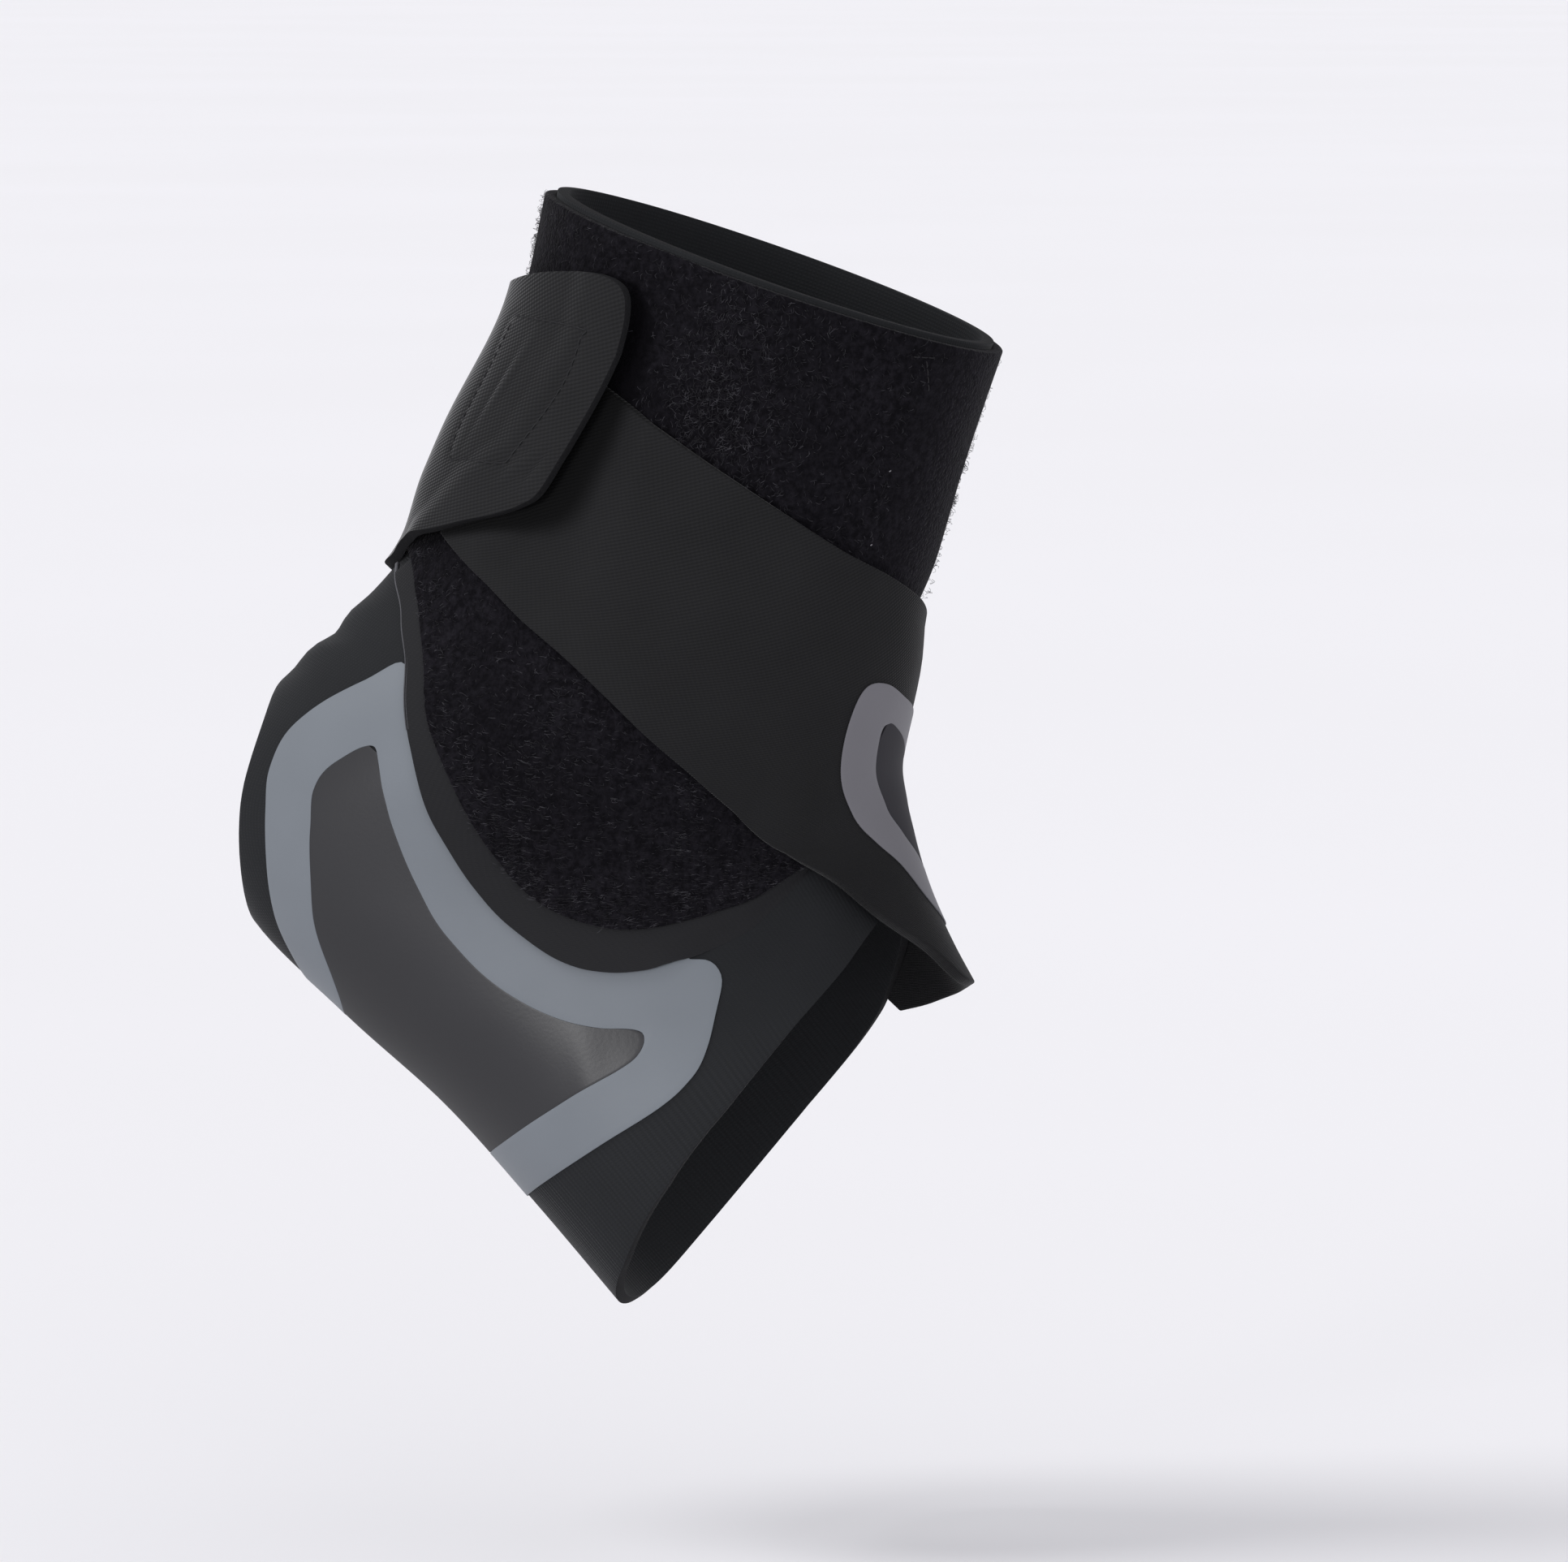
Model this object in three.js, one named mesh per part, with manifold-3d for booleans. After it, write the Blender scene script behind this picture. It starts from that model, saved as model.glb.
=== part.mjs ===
// Wrap-around ankle brace with an open heel and an open front, in the pose it has on the foot.
// Millimetres. +X points to the toes, +Z up, -Y is the outer side of the ankle. The origin is the
// centre of the ankle joint, in the middle of the hollow.
import * as THREE from 'three';
import Module from 'manifold-3d';

// Driving sizes. The tables below are shares of these.
const ankleDepth = 100;      // unit of the forward columns, front to back of the ankle
const ankleRise = 100;       // unit of the upward columns, along the leg
const ankleBreadth = 70;     // across the ankle bones, inside the brace
const legLean = 22.3;        // degrees that the leg leans towards the toes
const sleeveThick = 2.0;     // stretch sleeve, laminated
const pileThick = 1.7;       // loop-faced wrap
const marginThick = 1.0;     // smooth edge of the ankle flap
const strapThick = 1.7;      // instep strap
const tabThick = 1.8;        // closing tab
const hookThick = 0.9;       // hook patch under the tab
const filmThick = 0.6;       // bonded ribbons and panels
const layerGap = 0.45;       // air between layers that lie on each other
const filmGap = 0.7;         // air under the bonded films, more as they span the layers' facets
const edgeGap = 0.35;        // air between pieces that lie side by side

// Sections through the foot form, from the top of the leg (0) to the middle of the foot (11).
// Each runs from its front point to its back point, in the plane of the leg. Forward and upward
// are shares of ankleDepth and ankleRise, half is a share of ankleBreadth, lean moves the widest
// place forward, square is the exponent of the rounded shape at the back or sole.
const SECTIONS = [
  // frontFwd, frontUp, backFwd, backUp, half, lean, square
  [0.396, 0.965, -0.414, 0.925, 0.486, 0.00, 2.0],
  [0.411, 0.720, -0.376, 0.681, 0.464, 0.04, 2.0],
  [0.438, 0.480, -0.398, 0.440, 0.450, 0.10, 2.0],
  [0.469, 0.280, -0.412, 0.220, 0.464, 0.14, 2.0],
  [0.494, 0.147, -0.478, 0.017, 0.500, 0.12, 2.0],
  [0.536, 0.072, -0.563, -0.174, 0.500, 0.05, 2.1],
  [0.573, 0.025, -0.584, -0.378, 0.471, 0.00, 2.2],
  [0.605, -0.012, -0.460, -0.540, 0.457, -0.04, 2.25],
  [0.642, -0.052, -0.222, -0.638, 0.464, -0.08, 2.3],
  [0.685, -0.095, 0.026, -0.720, 0.486, -0.12, 2.3],
  [0.741, -0.146, 0.257, -0.824, 0.514, -0.16, 2.3],
  [0.804, -0.197, 0.495, -0.941, 0.536, -0.18, 2.3],
];
const LAST = SECTIONS.length - 1;

// Folds behind the ankle and the swell over the two ankle bones. A place on the form is a pair:
// around in turns (0 front, 0.25 outer side, 0.5 back or sole, 0.75 inner side) and along in
// sections. Reach is the half length of the bump each way, height is in shares of ankleBreadth.
const BUMPS = [
  // around, along, reachAround, reachAlong, height
  [0.47, 3.98, 0.07, 0.16, 0.014],
  [0.48, 4.22, 0.07, 0.13, -0.011],
  [0.46, 4.46, 0.07, 0.15, 0.012],
  [0.47, 4.72, 0.06, 0.13, -0.008],
  [0.27, 4.90, 0.08, 1.10, 0.016],
  [0.72, 4.60, 0.08, 1.10, 0.024],
];

// Edges. Top edges of the sleeve and of the wrap, in sections.
const sleeveTop = 0.06;
const wrapTop = 0.10;

// Front edge of the sleeve, all the way round: around, along.
const SLEEVE_END = [
  [0.00, 7.75], [0.065, 8.55], [0.12, 9.31], [0.18, 9.82], [0.24, 10.20], [0.30, 10.48],
  [0.38, 10.75], [0.50, 10.95], [0.62, 10.90], [0.74, 10.70], [0.84, 10.30], [0.92, 9.30],
  [1.00, 7.75],
];

// Opening at the heel: centre and half sizes, around and along.
const HEEL = { around: 0.5, along: 6.02, halfAround: 0.083, halfAlong: 1.17 };

// Rounded flap of the wrap over the outer ankle: its outer edge and the edge of its pile.
const FLAP = [
  // edgeAround, edgeAlong, pileAround, pileAlong
  [0.440, 3.42, 0.432, 3.22],
  [0.404, 3.62, 0.390, 3.52],
  [0.382, 3.84, 0.368, 3.76],
  [0.359, 4.12, 0.345, 4.08],
  [0.332, 4.62, 0.315, 4.66],
  [0.311, 5.08, 0.292, 5.12],
  [0.294, 5.58, 0.273, 5.62],
  [0.280, 6.15, 0.260, 6.18],
  [0.272, 6.75, 0.253, 6.66],
  [0.2665, 7.35, 0.247, 7.05],
  [0.260, 7.84, 0.238, 7.34],
  [0.247, 8.13, 0.226, 7.54],
  [0.229, 8.24, 0.211, 7.62],
  [0.213, 8.22, 0.193, 7.60],
  [0.195, 8.20, 0.172, 7.52],
  [0.160, 7.98, 0.145, 7.33],
  [0.128, 7.45, 0.118, 6.82],
  [0.108, 6.95, 0.098, 6.35],
];
const flapTip = 4;           // row where the ribbon's edge joins the flap's
const flapCorner = 13;       // row where the ribbon leaves the flap

// Lower edge of the wrap where it isn't the flap: under the strap, then round the inner side.
const WRAP_FRONT = [[0.00, 4.00], [0.045, 5.10]];
const WRAP_BACK = [[0.50, 3.10], [0.60, 3.08], [0.72, 3.08], [0.83, 3.12], [0.92, 3.40]];

// Instep strap, from its end under the tab to its seam on the inner side of the foot.
const STRAP = [
  // upperAround, upperAlong, lowerAround, lowerAlong
  [0.332, 1.17, 0.400, 2.86],
  [0.294, 1.27, 0.355, 3.05],
  [0.248, 1.41, 0.310, 3.28],
  [0.206, 1.53, 0.257, 3.59],
  [0.163, 1.66, 0.205, 4.05],
  [0.120, 1.79, 0.165, 4.58],
  [0.080, 1.88, 0.130, 5.50],
  [0.045, 1.98, 0.100, 6.90],
  [0.010, 2.10, 0.075, 8.60],
  [-0.030, 2.30, 0.040, 9.75],
  [-0.075, 2.70, 0.005, 10.80],
  [-0.125, 3.40, -0.060, 10.92],
  [-0.175, 4.50, -0.110, 10.75],
  [-0.215, 5.70, -0.150, 10.50],
];

// Closing tab, from its seam on the inner side, round the back, to its rounded end.
const TAB = [
  // upperAround, upperAlong, lowerAround, lowerAlong
  [0.680, 1.75, 0.680, 3.45],
  [0.610, 1.45, 0.610, 3.58],
  [0.550, 1.15, 0.550, 3.57],
  [0.500, 0.95, 0.500, 3.47],
  [0.450, 0.78, 0.460, 3.28],
  [0.410, 0.62, 0.425, 3.03],
  [0.371, 0.48, 0.398, 2.84],
  [0.343, 0.40, 0.374, 2.64],
  [0.325, 0.39, 0.350, 2.46],
  [0.315, 0.45, 0.333, 2.30],
  [0.3105, 0.62, 0.323, 2.13],
  [0.3095, 0.90, 0.3175, 1.75],
];

// Hook patch sewn under the tab's end, clear of the end of the strap.
const HOOK = [
  // upperAround, upperAlong, lowerAround, lowerAlong
  [0.425, 1.05, 0.420, 2.18],
  [0.385, 0.93, 0.385, 2.04],
  [0.352, 0.86, 0.364, 1.88],
];

// Grey ribbon round the heel, outer half; the inner half mirrors it. The first rows run from the
// sole up beside the heel opening, then come the flap's own edge rows and those back to the sole.
const RIBBON_HEEL = [
  [0.500, 7.72], [0.462, 7.66], [0.430, 7.42], [0.408, 7.02], [0.392, 6.48], [0.389, 6.00],
  [0.397, 5.60], [0.401, 5.22], [0.390, 4.84], [0.375, 4.48], [0.3615, 4.15],
];
const RIBBON_TOE = [
  [0.203, 8.24], [0.195, 8.33], [0.193, 8.50], [0.197, 8.75], [0.212, 9.12], [0.229, 9.48],
  [0.246, 9.71], [0.270, 9.83], [0.320, 9.86], [0.400, 9.89], [0.500, 9.92],
];
const RIBBON_INNER = [
  [0.500, 8.08], [0.446, 7.98], [0.412, 7.75], [0.385, 7.35], [0.362, 6.72], [0.354, 6.12],
  [0.3565, 5.72], [0.355, 5.50], [0.348, 5.31], [0.341, 5.17],
  [0.334, 5.13], [0.327, 5.27], [0.319, 5.50], [0.310, 5.82], [0.303, 6.25], [0.2995, 6.80],
  [0.3005, 7.40], [0.3005, 7.88], [0.294, 8.28], [0.284, 8.58], [0.271, 8.79],
  [0.2595, 8.90], [0.254, 8.99], [0.2545, 9.08], [0.259, 9.18], [0.267, 9.26], [0.279, 9.30],
  [0.293, 9.32], [0.310, 9.34], [0.345, 9.39], [0.410, 9.46], [0.500, 9.50],
];

// Dark panel inside the ribbon: which rows of the inner outline face each other across it, from
// the upper point down to the middle of the sole.
const PANEL = [
  // heelRow, toeRow
  [9.5, 10.5], [8.4, 11.6], [7.2, 12.5], [6, 13.4], [5, 14.3], [4.2, 15.4], [3.6, 16.6],
  [3.1, 17.6], [2.7, 18.5], [2.4, 19.4], [2.15, 20.4], [1.95, 21.5], [1.8, 22.5], [1.65, 23.6],
  [1.45, 25], [1.2, 26.5], [0.9, 28], [0.5, 29.6], [0, 31],
];

// Ring on the strap over the instep.
const RING = [
  // outerAround, outerAlong, innerAround, innerAlong
  [0.078, 2.90, 0.049, 3.36],
  [0.084, 3.30, 0.0475, 3.75],
  [0.080, 4.05, 0.042, 4.40],
  [0.073, 4.80, 0.035, 5.05],
  [0.058, 5.75, 0.025, 5.75],
  [0.038, 7.00, 0.010, 6.60],
  [0.014, 8.45, -0.010, 7.45],
  [-0.018, 9.30, -0.030, 7.90],
  [-0.052, 9.35, -0.046, 7.80],
  [-0.080, 8.40, -0.058, 7.20],
  [-0.096, 7.00, -0.064, 6.40],
  [-0.096, 5.60, -0.060, 5.50],
  [-0.083, 4.50, -0.048, 4.60],
  [-0.055, 3.70, -0.027, 3.95],
  [-0.015, 3.18, 0.003, 3.52],
  [0.030, 2.93, 0.032, 3.28],
  [0.058, 2.82, 0.043, 3.26],
];

// How finely each piece is cut into facets, along and across.
const FACETS = {
  sleeve: [40, 22], heel: 24, wrap: [50, 9], margin: [30, 1], strap: [38, 10], tab: [20, 6],
  hook: [4, 3], ribbon: [100, 2], panel: [40, 8], ring: [34, 2], ringPanel: [12, 3],
};

const clamp = (x, low, high) => Math.min(Math.max(x, low), high);
const mix = (a, b, t) => a + (b - a) * t;
const smooth = (low, high, x) => {
  const t = clamp((x - low) / (high - low), 0, 1);
  return t * t * (3 - 2 * t);
};

// A smooth line through the rows of a table, at t rows from its start.
function along(rows, t, closed = false) {
  const n = rows.length;
  const i = closed ? Math.floor(t) : clamp(Math.floor(t), 0, n - 2);
  const f = t - i;
  const at = (k) => {
    if (closed) return rows[((k % n) + n) % n];
    if (k < 0) return rows[0].map((v, c) => 2 * v - rows[1][c]);
    if (k >= n) return rows[n - 1].map((v, c) => 2 * v - rows[n - 2][c]);
    return rows[k];
  };
  const [p, q, r, s] = [at(i - 1), at(i), at(i + 1), at(i + 2)];
  return q.map((v, c) => 0.5 * (2 * v + (r[c] - p[c]) * f
    + (2 * p[c] - 5 * v + 4 * r[c] - s[c]) * f * f
    + (3 * v - p[c] - 3 * r[c] + s[c]) * f * f * f));
}

// The value in a table's second column where its first column is x. The first column only rises.
function lookup(rows, x) {
  let k = 0;
  while (k < rows.length - 2 && x > rows[k + 1][0]) k += 1;
  const [a, b] = [rows[k], rows[k + 1]];
  return mix(a[1], b[1], clamp((x - a[0]) / (b[0] - a[0]), 0, 1));
}

const power = (x, e) => Math.sign(x) * Math.abs(x) ** e;

// The skin side of the sleeve, in the frame of the leg.
function form(u, w) {
  const [ff, fu, bf, bu, half, lean, square] = along(SECTIONS, w);
  const turn = 2 * Math.PI * u;
  const c = Math.cos(turn);
  const e = 2 / mix(2, square, (1 - c) / 2);
  const x = power(c, e);
  const y = power(Math.sin(turn), e);
  return new THREE.Vector3(
    ankleDepth * (mix(bf, ff, 0.5) + (ff - bf) / 2 * x),
    -ankleBreadth * half * y * (1 + lean * x),
    ankleRise * (mix(bu, fu, 0.5) + (fu - bu) / 2 * x),
  );
}

function outward(u, w) {
  const [e, g] = [1e-3, 1e-2];
  const du = form(u + e, w).sub(form(u - e, w));
  const dw = form(u, Math.min(w + g, LAST)).sub(form(u, Math.max(w - g, 0)));
  return du.cross(dw).normalize();
}

function swell(u, w) {
  let sum = 0;
  for (const [au, aw, ru, rw, height] of BUMPS) {
    const turn = u - Math.round(u - au) - au;
    sum += height * ankleBreadth * Math.exp(-((turn / ru) ** 2) - ((w - aw) / rw) ** 2);
  }
  return sum;
}

const upright = new THREE.Matrix4().makeRotationY(THREE.MathUtils.degToRad(legLean));

// A place on the form, raised off the skin by a height.
function place(u, w, height) {
  return form(u, w).addScaledVector(outward(u, w), height + swell(u, w)).applyMatrix4(upright);
}

// Heights of the layers over the skin side of the sleeve.
const overSleeve = sleeveThick + layerGap;
const filmOnSleeve = () => sleeveThick + filmGap;
const overWrap = overSleeve + pileThick + layerGap;
const overHook = overWrap + hookThick + layerGap;
const overStrap = overWrap + strapThick + layerGap;

// Lower edge of the wrap by turns, for the strap to step down beyond it.
const pileEdge = FLAP.map((r) => [r[2], r[3]]);
const WRAP_LOW = [...WRAP_FRONT, ...[...pileEdge].reverse(), ...WRAP_BACK, [1.0, 4.0]];
const strapBase = (u, w) => {
  const edge = lookup(WRAP_LOW, u - Math.floor(u));
  return mix(overWrap, overSleeve, smooth(edge + 0.6, edge + 5.0, w));
};
// The tab rides over the hook patch, and higher over the end of the strap.
const STRAP_HIDDEN = [[1.0, 0.345], [1.9, 0.358], [2.3, 0.386], [2.9, 0.412]];
const tabBase = (u, w) => {
  const flat = mix(overHook, overWrap, smooth(0.44, 0.52, u));
  return mix(overStrap, flat, smooth(0, 0.022, u - lookup(STRAP_HIDDEN, w)));
};

// A closed body from grids of points on its two faces. rows run along, columns across.
function closedBody(low, high, ring) {
  const [n, m] = [low.length, low[0].length];
  const points = [];
  const faces = [];
  for (const grid of [low, high]) for (const row of grid) for (const p of row) points.push(p);
  const id = (side, i, j) => side * n * m + (i % n) * m + j;
  const quad = (a, b, c, d) => faces.push([a, b, c], [a, c, d]);
  const last = ring ? n : n - 1;
  for (let i = 0; i < last; i += 1) {
    for (let j = 0; j < m - 1; j += 1) {
      quad(id(1, i, j), id(1, i + 1, j), id(1, i + 1, j + 1), id(1, i, j + 1));
      quad(id(0, i, j), id(0, i, j + 1), id(0, i + 1, j + 1), id(0, i + 1, j));
    }
    quad(id(0, i, 0), id(0, i + 1, 0), id(1, i + 1, 0), id(1, i, 0));
    quad(id(1, i, m - 1), id(1, i + 1, m - 1), id(0, i + 1, m - 1), id(0, i, m - 1));
  }
  if (!ring) {
    for (let j = 0; j < m - 1; j += 1) {
      quad(id(0, 0, j + 1), id(0, 0, j), id(1, 0, j), id(1, 0, j + 1));
      quad(id(0, n - 1, j), id(0, n - 1, j + 1), id(1, n - 1, j + 1), id(1, n - 1, j));
    }
  }
  let volume = 0;
  for (const [a, b, c] of faces) {
    volume += points[a].dot(points[b].clone().cross(points[c])) / 6;
  }
  if (volume < 0) for (const f of faces) f.reverse();
  return { points, faces };
}

// Steps of t that are evenly long on the form, by the mean of the two edge lines.
function evenSteps(edges, n) {
  const fine = 12 * n;
  const runs = [0];
  let before = edges(0).map((p) => place(...p, 0));
  for (let i = 1; i <= fine; i += 1) {
    const here = edges(i / fine).map((p) => place(...p, 0));
    runs.push(runs[i - 1] + before[0].distanceTo(here[0]) + before[1].distanceTo(here[1]));
    before = here;
  }
  const steps = [];
  for (let i = 0, k = 0; i <= n; i += 1) {
    const want = runs[fine] * i / n;
    while (k < fine - 1 && runs[k + 1] < want) k += 1;
    steps.push((k + (want - runs[k]) / (runs[k + 1] - runs[k])) / fine);
  }
  return steps;
}

// A sheet between two edge lines. edges(t) gives [a, b], two places on the form, for t from 0 to
// 1. base is the height of its lower face, trim the air left at edge a and at edge b.
function sheet(edges, [n, m], base, thick, { ring = false, trim = [0, 0] } = {}) {
  const low = [];
  const high = [];
  for (const t of evenSteps(edges, n).slice(0, ring ? n : n + 1)) {
    const [a, b] = edges(t);
    const width = place(...a, 0).distanceTo(place(...b, 0));
    const rows = [[], []];
    for (let j = 0; j <= m; j += 1) {
      const s = mix(trim[0] / width, 1 - trim[1] / width, j / m);
      const [u, w] = [mix(a[0], b[0], s), mix(a[1], b[1], s)];
      const height = base(u, w);
      rows[0].push(place(u, w, height));
      rows[1].push(place(u, w, height + thick));
    }
    low.push(rows[0]);
    high.push(rows[1]);
  }
  return closedBody(low, high, ring);
}

// Two edge lines from a table of four columns.
const ladder = (rows, closed = false) => (t) => {
  const r = along(rows, t * (closed ? rows.length : rows.length - 1), closed);
  return [[r[0], r[1]], [r[2], r[3]]];
};

// The same outline on the inner side of the foot, put after the outer side's rows.
const mirrored = (rows) => [
  ...rows,
  ...rows.slice(1, -1).reverse().map(([u, w]) => [1 - u, w]),
];

const wasm = await Module();
wasm.setup();

function toManifold({ points, faces }) {
  return new wasm.Manifold(new wasm.Mesh({
    numProp: 3,
    vertProperties: new Float32Array(points.flatMap((p) => [p.x, p.y, p.z])),
    triVerts: new Uint32Array(faces.flat()),
  }));
}

function fromManifold(solid) {
  const mesh = solid.getMesh();
  const points = [];
  for (let i = 0; i < mesh.vertProperties.length; i += mesh.numProp) {
    points.push(new THREE.Vector3().fromArray(mesh.vertProperties, i));
  }
  const faces = [];
  for (let i = 0; i < mesh.triVerts.length; i += 3) {
    faces.push([mesh.triVerts[i], mesh.triVerts[i + 1], mesh.triVerts[i + 2]]);
  }
  return { points, faces };
}

const group = new THREE.Group();

function piece(name, { points, faces }, color, roughness) {
  const geometry = new THREE.BufferGeometry();
  const flat = points.flatMap((p) => [p.x, p.y, p.z]);
  geometry.setAttribute('position', new THREE.Float32BufferAttribute(flat, 3));
  geometry.setIndex(faces.flat());
  geometry.computeVertexNormals();
  const material = new THREE.MeshStandardMaterial({ color, roughness, metalness: 0 });
  const mesh = new THREE.Mesh(geometry, material);
  mesh.name = name;
  group.add(mesh);
}

// Stretch sleeve round leg, ankle and foot, with the heel opening cut through it.
const turns = (u) => [u, along(SLEEVE_END.map((r) => [r[1]]), lookupRow(SLEEVE_END, u))[0]];
function lookupRow(rows, u) {
  return lookup(rows.map((r, k) => [r[0], k]), u);
}
const sleeve = toManifold(sheet(
  (t) => [[t, sleeveTop], turns(t)], FACETS.sleeve, () => 0, sleeveThick, { ring: true },
));
const heelEdge = (t) => {
  const a = 2 * Math.PI * t;
  return [HEEL.around + HEEL.halfAround * Math.cos(a), HEEL.along + HEEL.halfAlong * Math.sin(a)];
};
const heelPlug = toManifold(sheet(
  (t) => [heelEdge(mix(0.501, 0.999, t)), heelEdge(mix(0.499, 0.001, t))],
  [FACETS.heel / 2, 3], () => -4, sleeveThick + 8,
));
piece('stretch_sleeve', fromManifold(sleeve.subtract(heelPlug)), 0x222326, 0.85);

// Loop-faced wrap round the leg, with its rounded flap over the outer ankle.
const wrapRing = WRAP_LOW.slice(0, -1);
piece('loop_wrap', sheet((t) => {
  const row = t * wrapRing.length;
  const k = Math.floor(row);
  const lead = (i) => [wrapRing[i % wrapRing.length][0] + Math.floor(i / wrapRing.length)];
  const top = mix(lead(k)[0], lead(k + 1)[0], row - k);
  const padded = [-1, 0, 1, 2].map((i) => {
    const q = (k + i + wrapRing.length) % wrapRing.length;
    const whole = Math.floor((k + i) / wrapRing.length);
    return [wrapRing[q][0] + whole, wrapRing[q][1]];
  });
  return [[top, wrapTop], along(padded, 1 + row - k)];
}, FACETS.wrap, () => overSleeve, pileThick, { ring: true }), 0x141317, 1);

piece('flap_margin', sheet(
  ladder(FLAP), FACETS.margin, () => overSleeve, marginThick, { trim: [0, edgeGap * 1.4] },
), 0x222326, 0.8);

piece('instep_strap', sheet(ladder(STRAP), FACETS.strap, strapBase, strapThick), 0x242528, 0.85);

piece('closing_tab', sheet(ladder(TAB), FACETS.tab, tabBase, tabThick), 0x303134, 0.75);

piece('hook_patch', sheet(ladder(HOOK), FACETS.hook, () => overWrap, hookThick), 0x1b1b1d, 0.9);

// Grey ribbon and the darker panel inside it, across the sole from one side to the other.
const flapRows = FLAP.slice(flapTip, flapCorner + 1).map((r) => [r[0], r[1]]);
const ribbonOuter = mirrored([...RIBBON_HEEL, ...flapRows, ...RIBBON_TOE]);
const ribbonInner = mirrored(RIBBON_INNER);
piece('heel_ribbon', sheet((t) => {
  const outer = along(ribbonOuter, t * ribbonOuter.length, true);
  return [outer, along(ribbonInner, t * ribbonInner.length, true)];
}, FACETS.ribbon, filmOnSleeve, filmThick, { ring: true, trim: [edgeGap * 2, edgeGap] }), 0x7d838a, 0.6);

const panelEdges = (t) => {
  const [half, side] = [1 - Math.abs(1 - 2 * t), (u) => (t > 0.5 ? 1 - u : u)];
  const [a, b] = along(PANEL, half * (PANEL.length - 1)).map((row) => along(RIBBON_INNER, row));
  return [[side(a[0]), a[1]], [side(b[0]), b[1]]];
};
piece('heel_panel', sheet(
  panelEdges, FACETS.panel, filmOnSleeve, filmThick, { trim: [edgeGap * 3, edgeGap * 3] },
), 0x424245, 0.5);

// Ring on the strap over the instep, with its darker middle.
const filmOnStrap = (u, w) => strapBase(u, w) + strapThick + filmGap;
piece('instep_ring', sheet(
  ladder(RING, true), FACETS.ring, filmOnStrap, filmThick, { ring: true, trim: [0, edgeGap] },
), 0x77757a, 0.6);

const ringInner = RING.map((r) => [r[2], r[3]]);
piece('ring_panel', sheet((t) => {
  const far = mix(0.4, ringInner.length / 2 - 0.3, t);
  return [along(ringInner, far, true), along(ringInner, -far - 0.4, true)];
}, FACETS.ringPanel, filmOnStrap, filmThick, { trim: [edgeGap * 3, edgeGap * 3] }), 0x424245, 0.5);

export default group;
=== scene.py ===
"""Wrap-around ankle brace with an open heel and an open front, in the pose it has on the foot.

Metres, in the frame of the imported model: +X points to the toes, +Z up, -Y is the outer side of
the ankle, and the origin is the centre of the ankle joint, in the middle of the hollow.
"""

import math
from functools import partial

import bmesh
import bpy
import numpy as np
from bpy.props import FloatProperty, FloatVectorProperty, IntProperty, PointerProperty
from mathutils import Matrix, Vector


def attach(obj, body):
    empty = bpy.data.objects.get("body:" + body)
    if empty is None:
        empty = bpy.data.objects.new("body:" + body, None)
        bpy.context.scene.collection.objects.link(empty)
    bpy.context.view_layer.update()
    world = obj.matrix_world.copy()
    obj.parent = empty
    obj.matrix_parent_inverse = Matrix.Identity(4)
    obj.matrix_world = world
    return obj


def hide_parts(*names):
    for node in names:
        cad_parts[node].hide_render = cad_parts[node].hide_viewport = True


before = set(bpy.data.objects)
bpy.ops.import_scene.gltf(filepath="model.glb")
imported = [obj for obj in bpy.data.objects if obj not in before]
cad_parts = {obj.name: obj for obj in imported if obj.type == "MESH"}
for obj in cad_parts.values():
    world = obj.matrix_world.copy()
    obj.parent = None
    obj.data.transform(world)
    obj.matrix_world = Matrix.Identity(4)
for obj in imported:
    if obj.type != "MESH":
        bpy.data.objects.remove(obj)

bl_info = {
    "name": "Ankle Brace",
    "version": (1, 0, 0),
    "blender": (4, 5, 0),
    "location": "3D View > Sidebar > Ankle Brace",
    "description": "Builds a wrap-around ankle brace of stretch knit, loop pile and twill",
    "category": "Add Mesh",
}

MM = 0.001
# Height of the floor, where the toes would stand.
FLOOR = -0.150

# Sections through the foot form, from the top of the leg (0) to the middle of the foot (11), as
# in the CAD source. Forward and upward are shares of the ankle's depth and rise, half is a share
# of its breadth, lean moves the widest place forward, square shapes the back or sole.
SECTIONS = [
    # front_fwd, front_up, back_fwd, back_up, half, lean, square
    (0.396, 0.965, -0.414, 0.925, 0.486, 0.00, 2.0),
    (0.411, 0.720, -0.376, 0.681, 0.464, 0.04, 2.0),
    (0.438, 0.480, -0.398, 0.440, 0.450, 0.10, 2.0),
    (0.469, 0.280, -0.412, 0.220, 0.464, 0.14, 2.0),
    (0.494, 0.147, -0.478, 0.017, 0.500, 0.12, 2.0),
    (0.536, 0.072, -0.563, -0.174, 0.500, 0.05, 2.1),
    (0.573, 0.025, -0.584, -0.378, 0.471, 0.00, 2.2),
    (0.605, -0.012, -0.460, -0.540, 0.457, -0.04, 2.25),
    (0.642, -0.052, -0.222, -0.638, 0.464, -0.08, 2.3),
    (0.685, -0.095, 0.026, -0.720, 0.486, -0.12, 2.3),
    (0.741, -0.146, 0.257, -0.824, 0.514, -0.16, 2.3),
    (0.804, -0.197, 0.495, -0.941, 0.536, -0.18, 2.3),
]

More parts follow.
